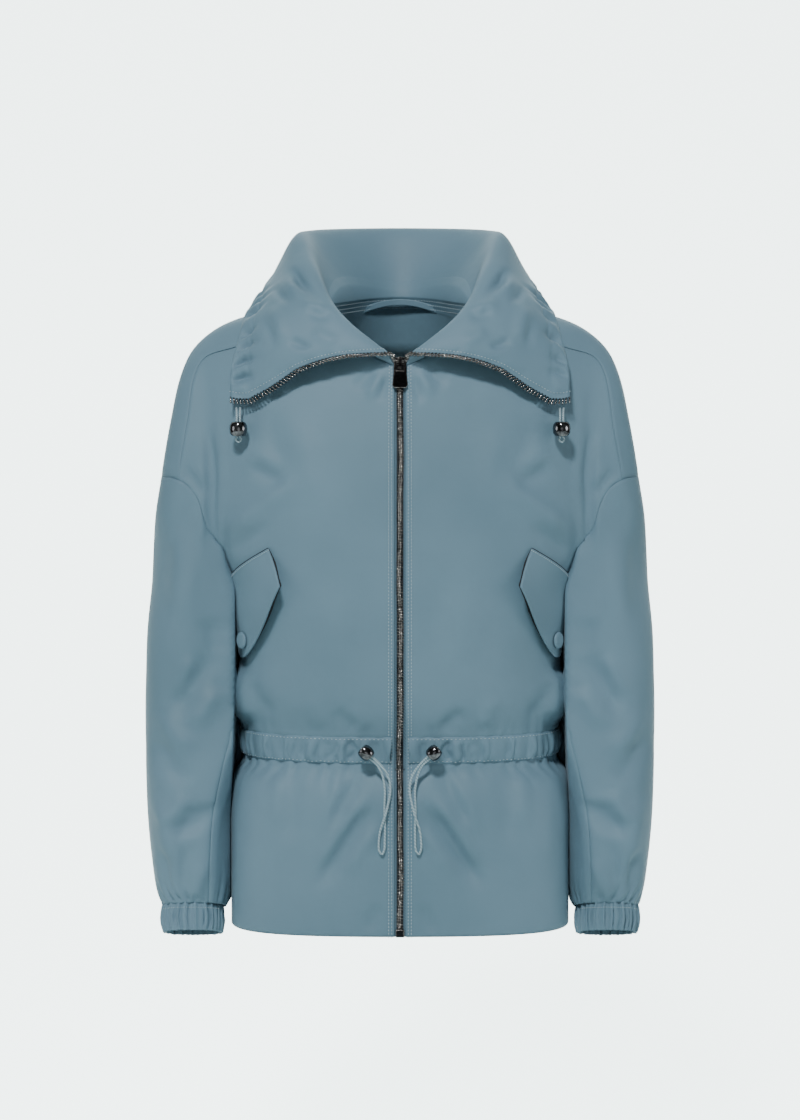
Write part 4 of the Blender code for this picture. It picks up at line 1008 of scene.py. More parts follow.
@dataclass(frozen=True)
class Tooth:
    """A zip tooth, a bar with a rounded head.

    Attributes:
        pitch: Distance from one to the next on the same row.
        reach: Length of a tooth, across the row.
        thick: Its thickness along the row.
        high: Its height.
    """

    pitch: float
    reach: float
    thick: float
    high: float

    def shape(self, tree: NodeTree, given: NodeOutputs) -> tuple[NodeSocket, NodeSocket, NodeSocket]:
        """A shape of unit size, its real size and its turn, in a tree that is given the sizes."""
        round_bar = {"Vertices": 8, "Side Segments": 1, "Fill Segments": 1, "Radius": 0.5, "Depth": 1.0}
        bar = add_node(tree, "GeometryNodeMeshCylinder", round_bar)
        laid = {"Geometry": bar.outputs[0], "Rotation": (0.0, math.pi / 2, 0.0)}
        ball = add_node(tree, "GeometryNodeMeshUVSphere", {"Segments": 8, "Rings": 5, "Radius": 0.62})
        flat = {"Geometry": ball.outputs[0], "Translation": (0.42, 0.0, 0.0), "Scale": (0.42, 1.0, 1.0)}
        both = add_node(tree, "GeometryNodeJoinGeometry")
        for part in (laid, flat):
            fill(both, {0: add_node(tree, "GeometryNodeTransform", part).outputs[0]})
        sides = {"X": given["reach"], "Y": given["thick"], "Z": given["high"]}
        size = add_node(tree, "ShaderNodeCombineXYZ", sides)
        reach = add_node(tree, "GeometryNodeInputNamedAttribute", {"Name": "reach"}, data_type="FLOAT_VECTOR")
        out = add_node(tree, "FunctionNodeAlignRotationToVector", {"Vector": reach.outputs[0]}, axis="X")
        tangent = add_node(tree, "GeometryNodeInputTangent")
        along = {"Rotation": out.outputs[0], "Vector": tangent.outputs[0]}
        turn = add_node(tree, "FunctionNodeAlignRotationToVector", along, axis="Y", pivot_axis="X")
        return both.outputs[0], size.outputs[0], turn.outputs[0]


def row_tree(name: str, kind: Stitch | Tooth, material: Material) -> NodeTree:
    """A Geometry Nodes tree that sets one kind of shape along lines.

    Args:
        name: The name of the piece that it makes.
        kind: The shape, whose sizes are the tree's named inputs.
        material: Its finish.

    Returns:
        The tree.
    """
    tree = bpy.data.node_groups.new(f"{name}_row", "GeometryNodeTree")
    tree.interface.new_socket("lines", in_out="INPUT", socket_type="NodeSocketGeometry")
    for word in asdict(kind):
        tree.interface.new_socket(word, in_out="INPUT", socket_type="NodeSocketFloat")
    tree.interface.new_socket("shapes", in_out="OUTPUT", socket_type="NodeSocketGeometry")
    given = add_node(tree, "NodeGroupInput").outputs
    curve = add_node(tree, "GeometryNodeMeshToCurve", {0: given["lines"]})
    steps = {"Curve": curve.outputs[0], "Length": given["pitch"]}
    spaced = add_node(tree, "GeometryNodeResampleCurve", steps, mode="LENGTH")
    shape, size, turn = kind.shape(tree, given)
    sized = add_node(tree, "GeometryNodeTransform", {"Geometry": shape, "Scale": size})
    laid = {"Points": spaced.outputs[0], "Instance": sized.outputs[0], "Rotation": turn}
    shapes = add_node(tree, "GeometryNodeInstanceOnPoints", laid)
    real = add_node(tree, "GeometryNodeRealizeInstances", {0: shapes.outputs[0]})
    dressed = add_node(tree, "GeometryNodeSetMaterial", {0: real.outputs[0], "Material": material})
    add_node(tree, "NodeGroupOutput", {0: dressed.outputs[0]})
    return tree


def row_of(
    name: str, kind: Stitch | Tooth, material: Material, lines: Sequence[np.ndarray],
    reach: np.ndarray | None = None,
) -> Object:
    """Rows of stitches or teeth along lines, as a plain mesh.

    Args:
        name: The new piece's name.
        kind: What is set along the lines.
        material: Its finish.
        lines: Points of each line.
        reach: For teeth, the direction in which they reach at every point of the lines.

    Returns:
        The finished piece.
    """
    points, edges = [], []
    for line in lines:
        edges += [(len(points) + i, len(points) + i + 1) for i in range(len(line) - 1)]
        points += np.asarray(line).tolist()
    path = bpy.data.meshes.new(f"{name}_path")
    path.from_pydata(points, edges, [])
    if reach is not None:
        attribute = path.attributes.new("reach", "FLOAT_VECTOR", "POINT")
        attribute.data.foreach_set("vector", reach.ravel())
    carrier = place(f"{name}_path", path)
    run = carrier.modifiers.new("Rows", "NODES")
    run.node_group = row_tree(name, kind, material)
    sockets = {item.name: item.identifier for item in run.node_group.interface.items_tree}
    for word, value in asdict(kind).items():
        run[sockets[word]] = value
    seen = carrier.evaluated_get(bpy.context.evaluated_depsgraph_get())
    mesh = bpy.data.meshes.new_from_object(seen)
    mesh.name = name
    for polygon in mesh.polygons:
        polygon.use_smooth = True
    carrier.modifiers.remove(run)
    bpy.data.objects.remove(carrier)
    return place(name, mesh)


@dataclass
class Parka:
    """Everything that is built, shared between the sub-assemblies."""

    wardrobe: Wardrobe
    grids: dict[str, ClothGrid] = field(default_factory=dict)

    def surface(self, *names: str) -> BVHTree:
        """A search tree over the shells of some pieces, before their walls."""
        points, faces = [], []
        for name in names:
            p = self.grids[name].points
            rows, columns = p.shape[:2]
            base = len(points)
            points += [Vector(v) for v in p.reshape(-1, 3)]
            r, c = np.meshgrid(np.arange(rows - 1), np.arange(columns - 1), indexing="ij")
            k = base + r * columns + c
            faces += np.stack([k, k + 1, k + columns + 1, k + columns], axis=-1).reshape(-1, 4).tolist()
        return BVHTree.FromPolygons(points, faces)

    def sew(
        self, node: str, grid: ClothGrid,
        shell: float = SHELL,
    ) -> None:
        """Make the cloth that stands for a CAD node, tie it to the frame and hide the node.

        Args:
            node: The CAD node's name.
            grid: The folded cloth.
            shell: Its thickness.
        """
        made = grid.piece(f"{node}_cloth", self.wardrobe.cloth, shell)
        settle(made, [node])

    def stitch(self, name: str, lines: Sequence[np.ndarray], stitch: Stitch) -> None:
        """Sew rows of thread along lines."""
        settle(row_of(name, stitch, self.wardrobe.thread, lines))


def seen_from_front(surface: BVHTree, places: Iterable[Sequence[float]]) -> list[Vector | None]:
    """Where a surface is met first from the front, at places across and up."""
    return [surface.ray_cast(Vector((x, BEFORE, z)), Vector(REAR))[0] for x, z in places]


@dataclass
class BodyPanels:
    """The two fronts and the back."""

    front_wall: Wall = Wall("front_left", 0.0012, FRONT, first=(0.0, -0.11, -0.61), columns=14, step=0.0032)
    back_wall: Wall = Wall("back", 0.0012, REAR, first=(-0.17, 0.0, -0.61), columns=29, step=0.0032)
    front_seed: int = 3
    back_seed: int = 7
    seam_reach: float = 0.0006
    seam_drop: float = 0.0012
    armhole_drop: float = 0.0006
    neck_reach: float = 0.0040  # how much further the neck edge goes on under the collar
    neck_half: float = 0.056  # only nearer the middle than this
    neck_fade: float = 0.012
    casing_low: float = -0.4415
    casing_high: float = -0.4155
    casing_step: float = 0.0016  # the cloth beside the casing rises this much toward its edge
    casing_fall: float = 0.005  # over about this height
    calm_zip: float = 0.010  # folds die away over this width at the zip, or at the back's first side seam
    calm_side: float = 0.014  # and over this one at the other side
    skirt_gathers: Gathers = Gathers(0.0135, 0.0021, 0.017, 11)
    waist_gathers: Gathers = Gathers(0.0150, 0.0010, 0.018, 23)
    front_creases: tuple[Crease, ...] = (
        # fan of folds that hangs from the cord stop over the skirt
        Crease(((17, -474), (38, -495), (53, -517), (68, -540), (84, -566)), 9.0, -7.0, lean=-0.3, fade=0.3),
        Crease(((36, -446), (48, -462), (60, -484), (70, -506)), 7.5, -4.6, lean=-0.3),
        Crease(((28, -470), (46, -490), (62, -514), (78, -544)), 7.0, 3.6, fade=0.3),
        Crease(((22, -500), (40, -524), (54, -552)), 8.0, 3.0),
        Crease(((50, -446), (66, -476), (80, -512)), 8.0, 2.6),
        Crease(((21, -574), (30, -592), (36, -606)), 7.0, -2.6),
        Crease(((96, -448), (104, -480), (106, -526)), 11.0, -3.2),
        Crease(((118, -446), (122, -478), (120, -510)), 8.0, 2.4),
        Crease(((140, -446), (143, -490), (144, -556)), 12.0, 2.0),
        # drag of the armhole over the chest
        Crease(((176, -224), (146, -202), (118, -182), (92, -160)), 11.0, 4.2, lean=0.2),
        Crease(((170, -240), (148, -222), (124, -204)), 8.0, -3.4),
        Crease(((150, -150), (128, -162), (108, -172)), 8.0, -3.8),
        Crease(((150, -136), (130, -146), (110, -154)), 8.0, 2.4),
        Crease(((128, -96), (122, -130), (114, -166)), 10.0, -2.4),
        Crease(((96, -100), (92, -140), (86, -196)), 13.0, 2.0),
        # folds between the flap and the waist
        Crease(((152, -358), (140, -382), (122, -402)), 8.0, -3.2),
        Crease(((64, -386), (50, -398), (38, -410)), 7.0, -3.0),
        Crease(((52, -380), (40, -394), (30, -408)), 7.0, 2.0),
        Crease(((92, -372), (84, -392), (80, -410)), 8.0, 2.4),
        Crease(((40, -250), (34, -300), (30, -352)), 14.0, -2.0),
        Crease(((70, -260), (62, -310), (56, -360)), 15.0, 2.0),
        # fullness over the waist, beside the sleeve
        Crease(((158, -350), (158, -372), (154, -398), (148, -410)), 13.0, 8.0, fade=0.3, steady=True),
        # pulls beside the slider
        Crease(((9, -62), (15, -75), (21, -92)), 3.6, -3.0),
        Crease(((15, -58), (24, -72), (32, -88)), 4.2, 2.4),
        Crease(((24, -56), (36, -68), (48, -76)), 5.0, -2.6),
    )
    back_creases: tuple[Crease, ...] = (
        Crease(((150, -150), (110, -190), (70, -215)), 16.0, 3.0, View.REAR),
        Crease(((160, -210), (125, -235), (90, -250)), 12.0, -2.6, View.REAR),
        Crease(((30, -60), (34, -150), (28, -240)), 18.0, 1.8, View.REAR),
        Crease(((70, -330), (52, -370), (44, -408)), 11.0, -2.4, View.REAR),
        Crease(((120, -340), (112, -376), (104, -410)), 11.0, 2.0, View.REAR),
        Crease(((20, -350), (14, -384), (12, -412)), 9.0, -1.8, View.REAR),
        Crease(((40, -460), (52, -500), (60, -545)), 11.0, -2.8, View.REAR),
        Crease(((92, -462), (98, -505), (96, -560)), 13.0, 2.2, View.REAR),
        Crease(((130, -458), (126, -492), (118, -530)), 10.0, -2.0, View.REAR),
        Crease(((8, -470), (16, -520), (20, -570)), 12.0, 1.6, View.REAR),
    )

    def folded(self, grid: ClothGrid, creases: Sequence[Crease], side: int, seed: int) -> ClothGrid:
        """A panel with its creases and the gathers above and below the waist casing.

        Args:
            grid: The plain panel.
            creases: Its folds.
            side: 1, -1 or 0 for both.
            seed: Fixes the small differences between sides.

        Returns:
            The folded panel.
        """
        rng = np.random.default_rng(seed)
        normals = grid.normals()
        moves = fold_moves(creases, grid, normals, side, rng)
        across, _ = grid.lengths()
        z = grid.points[..., 2]
        below, above = self.casing_low - z, z - self.casing_high
        places = grid.level(int(np.argmin(np.abs(below.mean(axis=1)))))
        for gathers, away in ((self.skirt_gathers, below), (self.waist_gathers, above)):
            beside = self.casing_step * np.exp(-np.abs(away) / self.casing_fall)
            uneven = gathers.shifted(seed).heights(places, np.maximum(away, 0.0))
            moves = moves + np.where(away >= 0, beside + uneven, 0.0)
        moves = np.where((below < 0) & (above < 0), 0.0, moves)
        calm = ease(np.minimum(across / self.calm_zip, (across[:, -1:] - across) / self.calm_side))
        over = fold_moves(ARMHOLE_FOLDS, grid, normals, side, rng) if side else 0.0
        return grid.moved(moves * calm + over)

    def build(self, parka: Parka) -> None:
        """Make the three panels."""
        left = self.front_wall.read()
        for side in Side:
            node = f"front_{side.word}"
            plain = left.on(side)
            grid = self.folded(plain, self.front_creases, side.value, self.front_seed + side.value)
            parka.grids[node] = grid
            grid = grid.turned_under(Edge.LAST_COLUMN, self.seam_reach, self.armhole_drop)
            under = ease((self.neck_half - np.abs(grid.points[-1, :, :1])) / self.neck_fade)
            grid = grid.turned_under(Edge.LAST_ROW, self.seam_reach + under * self.neck_reach, self.seam_drop)
            parka.sew(node, grid)
        plain = self.back_wall.read()
        grid = self.folded(plain, self.back_creases, 0, self.back_seed)
        parka.grids["back"] = grid
        for edge in (Edge.FIRST_COLUMN, Edge.LAST_COLUMN, Edge.LAST_ROW):
            grid = grid.turned_under(edge, self.seam_reach, self.seam_drop)
        parka.sew("back", grid)


@dataclass
class Sleeves:
    """The two sleeves with the gathers above their cuffs."""

    wall: Wall = Wall("sleeve_left", 0.0012, OUTER, first=(0.17, 0.0, -0.29), columns=19, step=0.0025)
    seam_reach: float = 0.0005
    seam_drop: float = 0.0012
    end_reach: float = 0.0004
    armhole_drop: float = 0.0006
    seam_calm: float = 0.012  # folds die away over this width at the seam
    end_calm: float = 0.004  # and over this one at both ends
    seed: int = 31
    folds: float = 1.25  # how strongly the arm's folds are drawn
    gathers: Gathers = Pleats(0.0085, 0.0034, 0.020, 41)
    head: Gathers = Gathers(0.020, 0.0008, 0.012, 57)
    # height, how far the inner side may go in to meet the body, and how near the middle its front may come
    hug: tuple[Point, ...] = (
        (-0.60, 0.002, 0.168), (-0.56, 0.007, 0.168), (-0.50, 0.010, 0.168), (-0.46, 0.014, 0.166),
        (-0.43, 0.016, 0.164), (-0.40, 0.018, 0.163), (-0.34, 0.020, 0.162), (-0.28, 0.020, 0.162),
        (-0.24, 0.014, 0.164), (-0.20, 0.005, 0.170), (-0.17, 0.000, 0.175),
    )
    # the underarm seam as it is seen from the front: out from the middle and height, in millimetres
    seam: Pairs = ((188, -572), (185, -508), (180, -476), (173, -445), (166, -414), (160, -391))
    seam_shift: float = 0.05  # how far forward the seam may be drawn
    seam_back: float = 0.2  # and what share of that backward
    seam_fade: float = 0.10  # above its highest point the seam goes back under the arm over this height
    seam_rows: int = 6  # rows on each side over which its course is evened out
    clear: float = 0.0006  # room that is left between sleeve and body
    inner_from: float = 0.05  # the inner side starts where the cloth faces the body this much, as a cosine
    inner_over: float = 0.5  # and is moved in full this much further on
    behind: float = 0.03  # how much nearer the middle the sleeve may come behind the body's middle
    behind_over: float = 0.02
    casing_room: float = 0.0030  # and how much more beside the waist casing
    casing_mid: float = -0.4285
    casing_half: float = 0.018
    outside: float = 0.4  # X of points beside the garment, from which rays go in to the body
    creases: tuple[Crease, ...] = (
        # folds down the arm and round the elbow
        Crease(((240, -196), (238, -260), (232, -330)), 13.0, -2.8),
        Crease(((222, -200), (214, -250), (212, -310)), 12.0, 2.6),
        Crease(((176, -330), (190, -348), (208, -374), (220, -404)), 10.0, -5.2, lean=0.2),
        Crease(((196, -336), (208, -356), (222, -384)), 9.0, 3.2),
        Crease(((178, -368), (190, -390), (204, -414)), 9.0, 3.6),
        Crease(((246, -416), (228, -446), (204, -464)), 11.0, -4.6),
        Crease(((240, -392), (222, -418), (200, -438)), 10.0, 3.6),
        Crease(((192, -478), (204, -500), (222, -518)), 9.0, -5.4, lean=0.2),
        Crease(((206, -470), (218, -490), (234, -506)), 8.0, 3.4),
        Crease(((238, -474), (228, -508), (222, -548)), 9.0, 3.4),
        Crease(((206, -516), (212, -546), (214, -574)), 6.0, -4.0),
        Crease(((234, -526), (231, -554), (227, -580)), 6.0, -3.6),
        Crease(((196, -536), (200, -560), (202, -584)), 5.0, 2.8),
        Crease(((214, -190), (204, -230), (200, -290)), 12.0, -2.8, View.REAR),
        Crease(((236, -230), (226, -280), (222, -340)), 12.0, 2.2, View.REAR),
        Crease(((240, -360), (220, -384), (198, -396)), 10.0, -2.8, View.REAR),
        Crease(((242, -410), (222, -430), (200, -440)), 10.0, 2.2, View.REAR),
        Crease(((238, -468), (222, -496), (208, -530)), 9.0, -2.8, View.REAR),
    )

    def seamed(self, grid: ClothGrid, side: Side) -> ClothGrid:
        """A sleeve with its two edges meeting on the underarm seam's line."""
        out, heights = np.array(self.seam).T * MM
        low = grid.points[:, 0, 2]
        starts = np.full(len(low), np.nan)
        for k, line in enumerate(grid.points):
            run = run_of(line)
            off = side.value * line[:, 0] - np.interp(line[:, 2], heights, out)
            cross = np.nonzero(off[:-1] * off[1:] < 0)[0]
            at = run[cross] + (run[cross + 1] - run[cross]) * off[cross] / (off[cross] - off[cross + 1])
            at = np.where(at > 0.5 * run[-1], at - run[-1], at)
            at = at[(at > -self.seam_shift) & (at < self.seam_back * self.seam_shift)]
            if low[k] < heights[-1] and len(at):
                starts[k] = at[np.argmin(np.abs(at))]
        known = np.nonzero(np.isfinite(starts))[0]
        rows = np.arange(len(low))
        starts = np.interp(rows, known, starts[known])
        starts *= ease((heights[-1] + self.seam_fade - low) / self.seam_fade)
        window = 2 * self.seam_rows + 1
        padded = np.pad(starts, self.seam_rows, mode="edge")
        return grid.restarted(np.convolve(padded, np.full(window, 1 / window), mode="valid"))

    def lean_in(self, parka: Parka, grid: ClothGrid, normals: np.ndarray, side: Side) -> None:
        """Bring a sleeve's inner side up against the body.

        Args:
            parka: Gives the body's panels.
            grid: The sleeve, whose points are moved.
            normals: Outward directions before it was folded.
            side: The side that it is on.
        """
        body = parka.surface(f"front_{side.word}", "back")
        heights, reach, least = np.array(self.hug).T
        inner = ease((-side.value * normals[..., 0] - self.inner_from) / self.inner_over)
        toward = Vector((-side.value, 0.0, 0.0))
        for at, share in zip(grid.points.reshape(-1, 3), inner.ravel()):
            most = np.interp(at[2], heights, reach, left=0.0, right=0.0) * share
            if most < WELD:
                continue
            hit = body.ray_cast(Vector((self.outside * side.value, at[1], at[2])), toward)[0]
            if hit is not None:
                beside_casing = math.exp(-(((at[2] - self.casing_mid) / self.casing_half) ** 4))
                room = self.clear + self.casing_room * beside_casing
                stop = np.interp(at[2], heights, least) - self.behind * ease(at[1] / self.behind_over)
                gap = side.value * at[0] - max(side.value * hit.x + room, stop)
                at[0] -= side.value * min(max(gap, 0.0), most)

    def build(self, parka: Parka) -> None:
        """Make both sleeves."""
        left = self.wall.read()
        for side in Side:
            plain = left.on(side)
            rng = np.random.default_rng(self.seed + side.value)
            normals = replace(plain, closed=True).normals()
            moves = self.folds * fold_moves(self.creases, plain, normals, side.value, rng)
            _, along = plain.lengths()
            top = plain.points[0, :, 2].mean() > plain.points[-1, :, 2].mean()
            down, rise = (along, along[-1:] - along) if top else (along[-1:] - along, along)
            for gathers, away in ((self.gathers, rise), (self.head, down)):
                places = plain.level(int(np.argmin(away[:, 0])))
                moves = moves + gathers.shifted(side.value).heights(places, away)
            calm = ease(plain.inward() / self.seam_calm)
            calm = calm * ease(rise / self.end_calm) * ease(down / self.end_calm)
            over = fold_moves(ARMHOLE_FOLDS, plain, normals, side.value, rng)
            grid = plain.moved(moves * calm + over)
            self.lean_in(parka, grid, normals, side)
            grid = self.seamed(grid, side)
            for edge in (Edge.FIRST_COLUMN, Edge.LAST_COLUMN):
                grid = grid.turned_under(edge, self.seam_reach, self.seam_drop)
            for edge in (Edge.FIRST_ROW, Edge.LAST_ROW):
                grid = grid.turned_under(edge, self.end_reach, self.armhole_drop)
            parka.sew(f"sleeve_{side.word}", grid)


@dataclass
class Cuffs:
    """Elastic cuffs, crowded with gathers."""

    wall: Wall = Wall("cuff_left", 0.0012, FRONT, first=(0.20, -0.08, -0.62), columns=67, step=0.0011)
    sewn_in: float = 0.0030  # how far it goes on up inside the sleeve
    sewn_drop: float = 0.0006
    ripple: Gathers = Pleats(0.0056, 0.0042, 0.030, 71)
    band: float = 0.02  # height over which the ripple is drawn
    edge_share: float = 0.55  # depth of the ripple at both edges
    middle_share: float = 0.45  # and how much more of it the middle has
    seam_calm: float = 0.006
    stitch_in: float = 0.0035
    stitch: Stitch = Stitch(0.0028, 0.0017, 0.0005)

    def build(self, parka: Parka) -> None:
        """Make both cuffs and their rows of stitches."""
        left = self.wall.read()
        for side in Side:
            node = f"cuff_{side.word}"
            plain = left.on(side)
            _, along = plain.lengths()
            share = along / along[-1:]
            ripple = self.ripple.shifted(side.value).heights(plain.level(-1), np.abs(share - 0.5) * self.band)
            moves = ripple * (self.edge_share + self.middle_share * np.sin(math.pi * share))
            grid = plain.moved(moves * ease(plain.inward() / self.seam_calm))
            sewn = grid.turned_under(Edge.LAST_ROW, self.sewn_in, self.sewn_drop)
            parka.sew(node, sewn)
            parka.stitch(f"{node}_stitches", [grid.line_in(Edge.LAST_ROW, self.stitch_in)], self.stitch)


@dataclass
class Collar:
    """The wide collar, folded out, with a crumpled cord channel at its edge."""

    wall: Wall = Wall("collar", 0.0022, FRONT, first=(-0.01, -0.08, -0.05), columns=45, step=0.0026)
    shell: float = 0.0018
    channel: float = 0.022
    channel_gathers: Gathers = Pleats(0.0200, 0.0070, 0.014, 83)
    channel_deep: float = 0.6  # share of the channel's width at which its folds are deepest
    channel_calm: float = 0.006
    channel_seam: float = 0.0013
    channel_seam_half: float = 0.0022
    stitch_in: float = 0.0065
    stitch: Stitch = Stitch(0.0034, 0.0019, 0.0007)
    zip_calm: float = 0.010
    zip_puckers: Gathers = Gathers(0.016, 0.0013, 0.014, 87)
    pucker_calm: tuple[float, float] = (0.03, 0.02)  # at the neck and at the outer edge
    # out from the middle, and how far the zip edge hangs up or down there
    sway: Pairs = (
        (0.020, 0.0), (0.052, 0.0030), (0.075, 0.0042), (0.099, 0.0044),
        (0.122, -0.0022), (0.146, -0.0058), (0.158, -0.0010), (0.168, 0.0050),
    )
    sway_reach: float = 0.024
    round_half: float = 0.075  # half the width of the back that is rounded off
    round_passes: int = 220
    round_share: float = 0.25
    seed: int = 91
    creases: tuple[Crease, ...] = (
        Crease(((114, 44), (102, 33), (90, 21), (78, 11)), 4.6, -5.6, lean=0.3, fade=0.55),
        Crease(((117, 35), (105, 22), (92, 10)), 5.5, 3.4, fade=0.55),
        Crease(((106, 44), (102, 26), (94, 14)), 4.0, -3.4, fade=0.55),
        Crease(((126, 26), (114, 13), (102, 5)), 4.5, -3.4, fade=0.55),
        Crease(((108, -28), (97, -35), (86, -38)), 4.2, -3.6),
        Crease(((92, -2), (80, -7), (66, -8)), 5.0, -3.2, lean=0.3),
        Crease(((98, 8), (84, 2), (68, -2)), 5.0, 2.2),
        Crease(((128, 6), (120, -12), (116, -34)), 6.5, 3.2),
        Crease(((134, -4), (126, -24), (122, -44)), 5.0, -3.0, fade=0.55),
        Crease(((86, -20), (72, -30), (58, -34)), 6.5, 2.4),
        Crease(((70, 60), (40, 58), (10, 60)), 8.0, -1.8, View.REAR),
        Crease(((110, 40), (90, 20), (70, 6)), 9.0, -2.2, View.REAR),
        Crease(((60, 30), (30, 18), (0, 16)), 10.0, 1.8, View.REAR),
        Crease(((90, 0), (60, -8), (24, -10)), 8.0, -1.6, View.REAR),
    )

    def build(self, parka: Parka) -> None:
        """Make the collar and the stitching beside its zip edges."""
        plain = self.wall.read()
        p = plain.points
        behind = ease((self.round_half - np.abs(p[..., 0])) / self.round_half) * (p[..., 1] > 0)
        for _ in range(self.round_passes):
            p[:, 1:-1] += self.round_share * behind[:, 1:-1, None] * (p[:, 2:] - 2 * p[:, 1:-1] + p[:, :-2])
        moves = fold_moves(self.creases, plain, plain.normals(), 0, np.random.default_rng(self.seed))
        _, along = plain.lengths()
        away = along[-1:] - along
        inward = plain.inward()
        from_deepest = np.abs(away - self.channel_deep * self.channel)
        crumple = self.channel_gathers.heights(plain.level(-1), from_deepest) * ease(away / self.channel_calm)
        crumple -= self.channel_seam * np.exp(-(((away - self.channel) / self.channel_seam_half) ** 2))
        foot, tip = self.pucker_calm
        pucker = self.zip_puckers.heights(along, inward) * ease(along / foot) * ease(away / tip)
        grid = plain.moved((moves + crumple) * ease(inward / self.zip_calm) + pucker)
        out, lift = np.array(self.sway).T
        near = np.exp(-((inward / self.sway_reach) ** 2))
        rise = np.interp(np.abs(grid.points[..., 0]), out, lift, left=0.0) * near
        grid.points[..., 2] += np.where(grid.points[..., 1] < 0, rise, 0.0)
        parka.grids["collar"] = grid
        parka.sew("collar", grid, shell=self.shell)
        lines = [grid.line_in(edge, self.stitch_in) for edge in (Edge.FIRST_COLUMN, Edge.LAST_COLUMN)]
        parka.stitch("collar_stitches", lines, self.stitch)


@dataclass
class WaistCasing:
    """The band round the waist that the cord runs in, puckered between two rows of stitches."""

    wall: Wall = Wall("waist_casing", 0.0012, FRONT, first=(0.009, -0.11, -0.4415), columns=97, step=0.0017)
    stitch_in: float = 0.0020
    stitch: Stitch = Stitch(0.0042, 0.0019, 0.0006)
    sink: float = 0.0016  # how much flatter the band lies than its wall
    seam_reach: float = 0.0008
    seam_drop: float = 0.0018
    puckers: Gathers = Pleats(0.0120, 0.0031, 0.026, 101)
    deep_at: float = 0.3  # share of the band's height at which the puckers are deepest
    band: float = 0.026  # height over which they are drawn
    edge_share: float = 0.35  # their depth at both edges
    middle_share: float = 0.65  # and how much more of it the middle has
    end_calm: float = 0.004
    creases: tuple[Crease, ...] = (
        Crease(((49, -417), (43, -427), (49, -439)), 2.6, -3.2, fade=0.2),
        Crease(((55, -416), (52, -427), (56, -440)), 3.0, 1.8, fade=0.2),
        Crease(((62, -417), (60, -428), (63, -440)), 2.6, -2.6, fade=0.2),
        Crease(((72, -418), (70, -430), (72, -440)), 3.4, -2.2, fade=0.2),
        Crease(((22, -417), (20, -428), (22, -440)), 3.0, -1.8, fade=0.2),
    )

    def build(self, parka: Parka) -> None:
        """Make the casing and its stitches."""
        plain = self.wall.read()
        _, along = plain.lengths()
        share = along / along[-1:]
        crown = np.sin(math.pi * share)
        rng = np.random.default_rng(self.puckers.seed)
        puckers = self.puckers.heights(plain.level(0), np.abs(share - self.deep_at) * self.band)
        moves = puckers * (self.edge_share + self.middle_share * crown)
        beside_stop = fold_moves(self.creases, plain, plain.normals(), 0, rng)
        calm = ease(plain.inward() / self.end_calm)
        grid = plain.moved(-self.sink * crown + (moves + beside_stop) * calm)
        edges = (Edge.FIRST_ROW, Edge.LAST_ROW)
        sewn = grid
        for edge in edges:
            sewn = sewn.turned_under(edge, self.seam_reach, self.seam_drop)
        parka.sew("waist_casing", sewn)
        parka.stitch("waist_stitches", [grid.line_in(edge, self.stitch_in) for edge in edges], self.stitch)


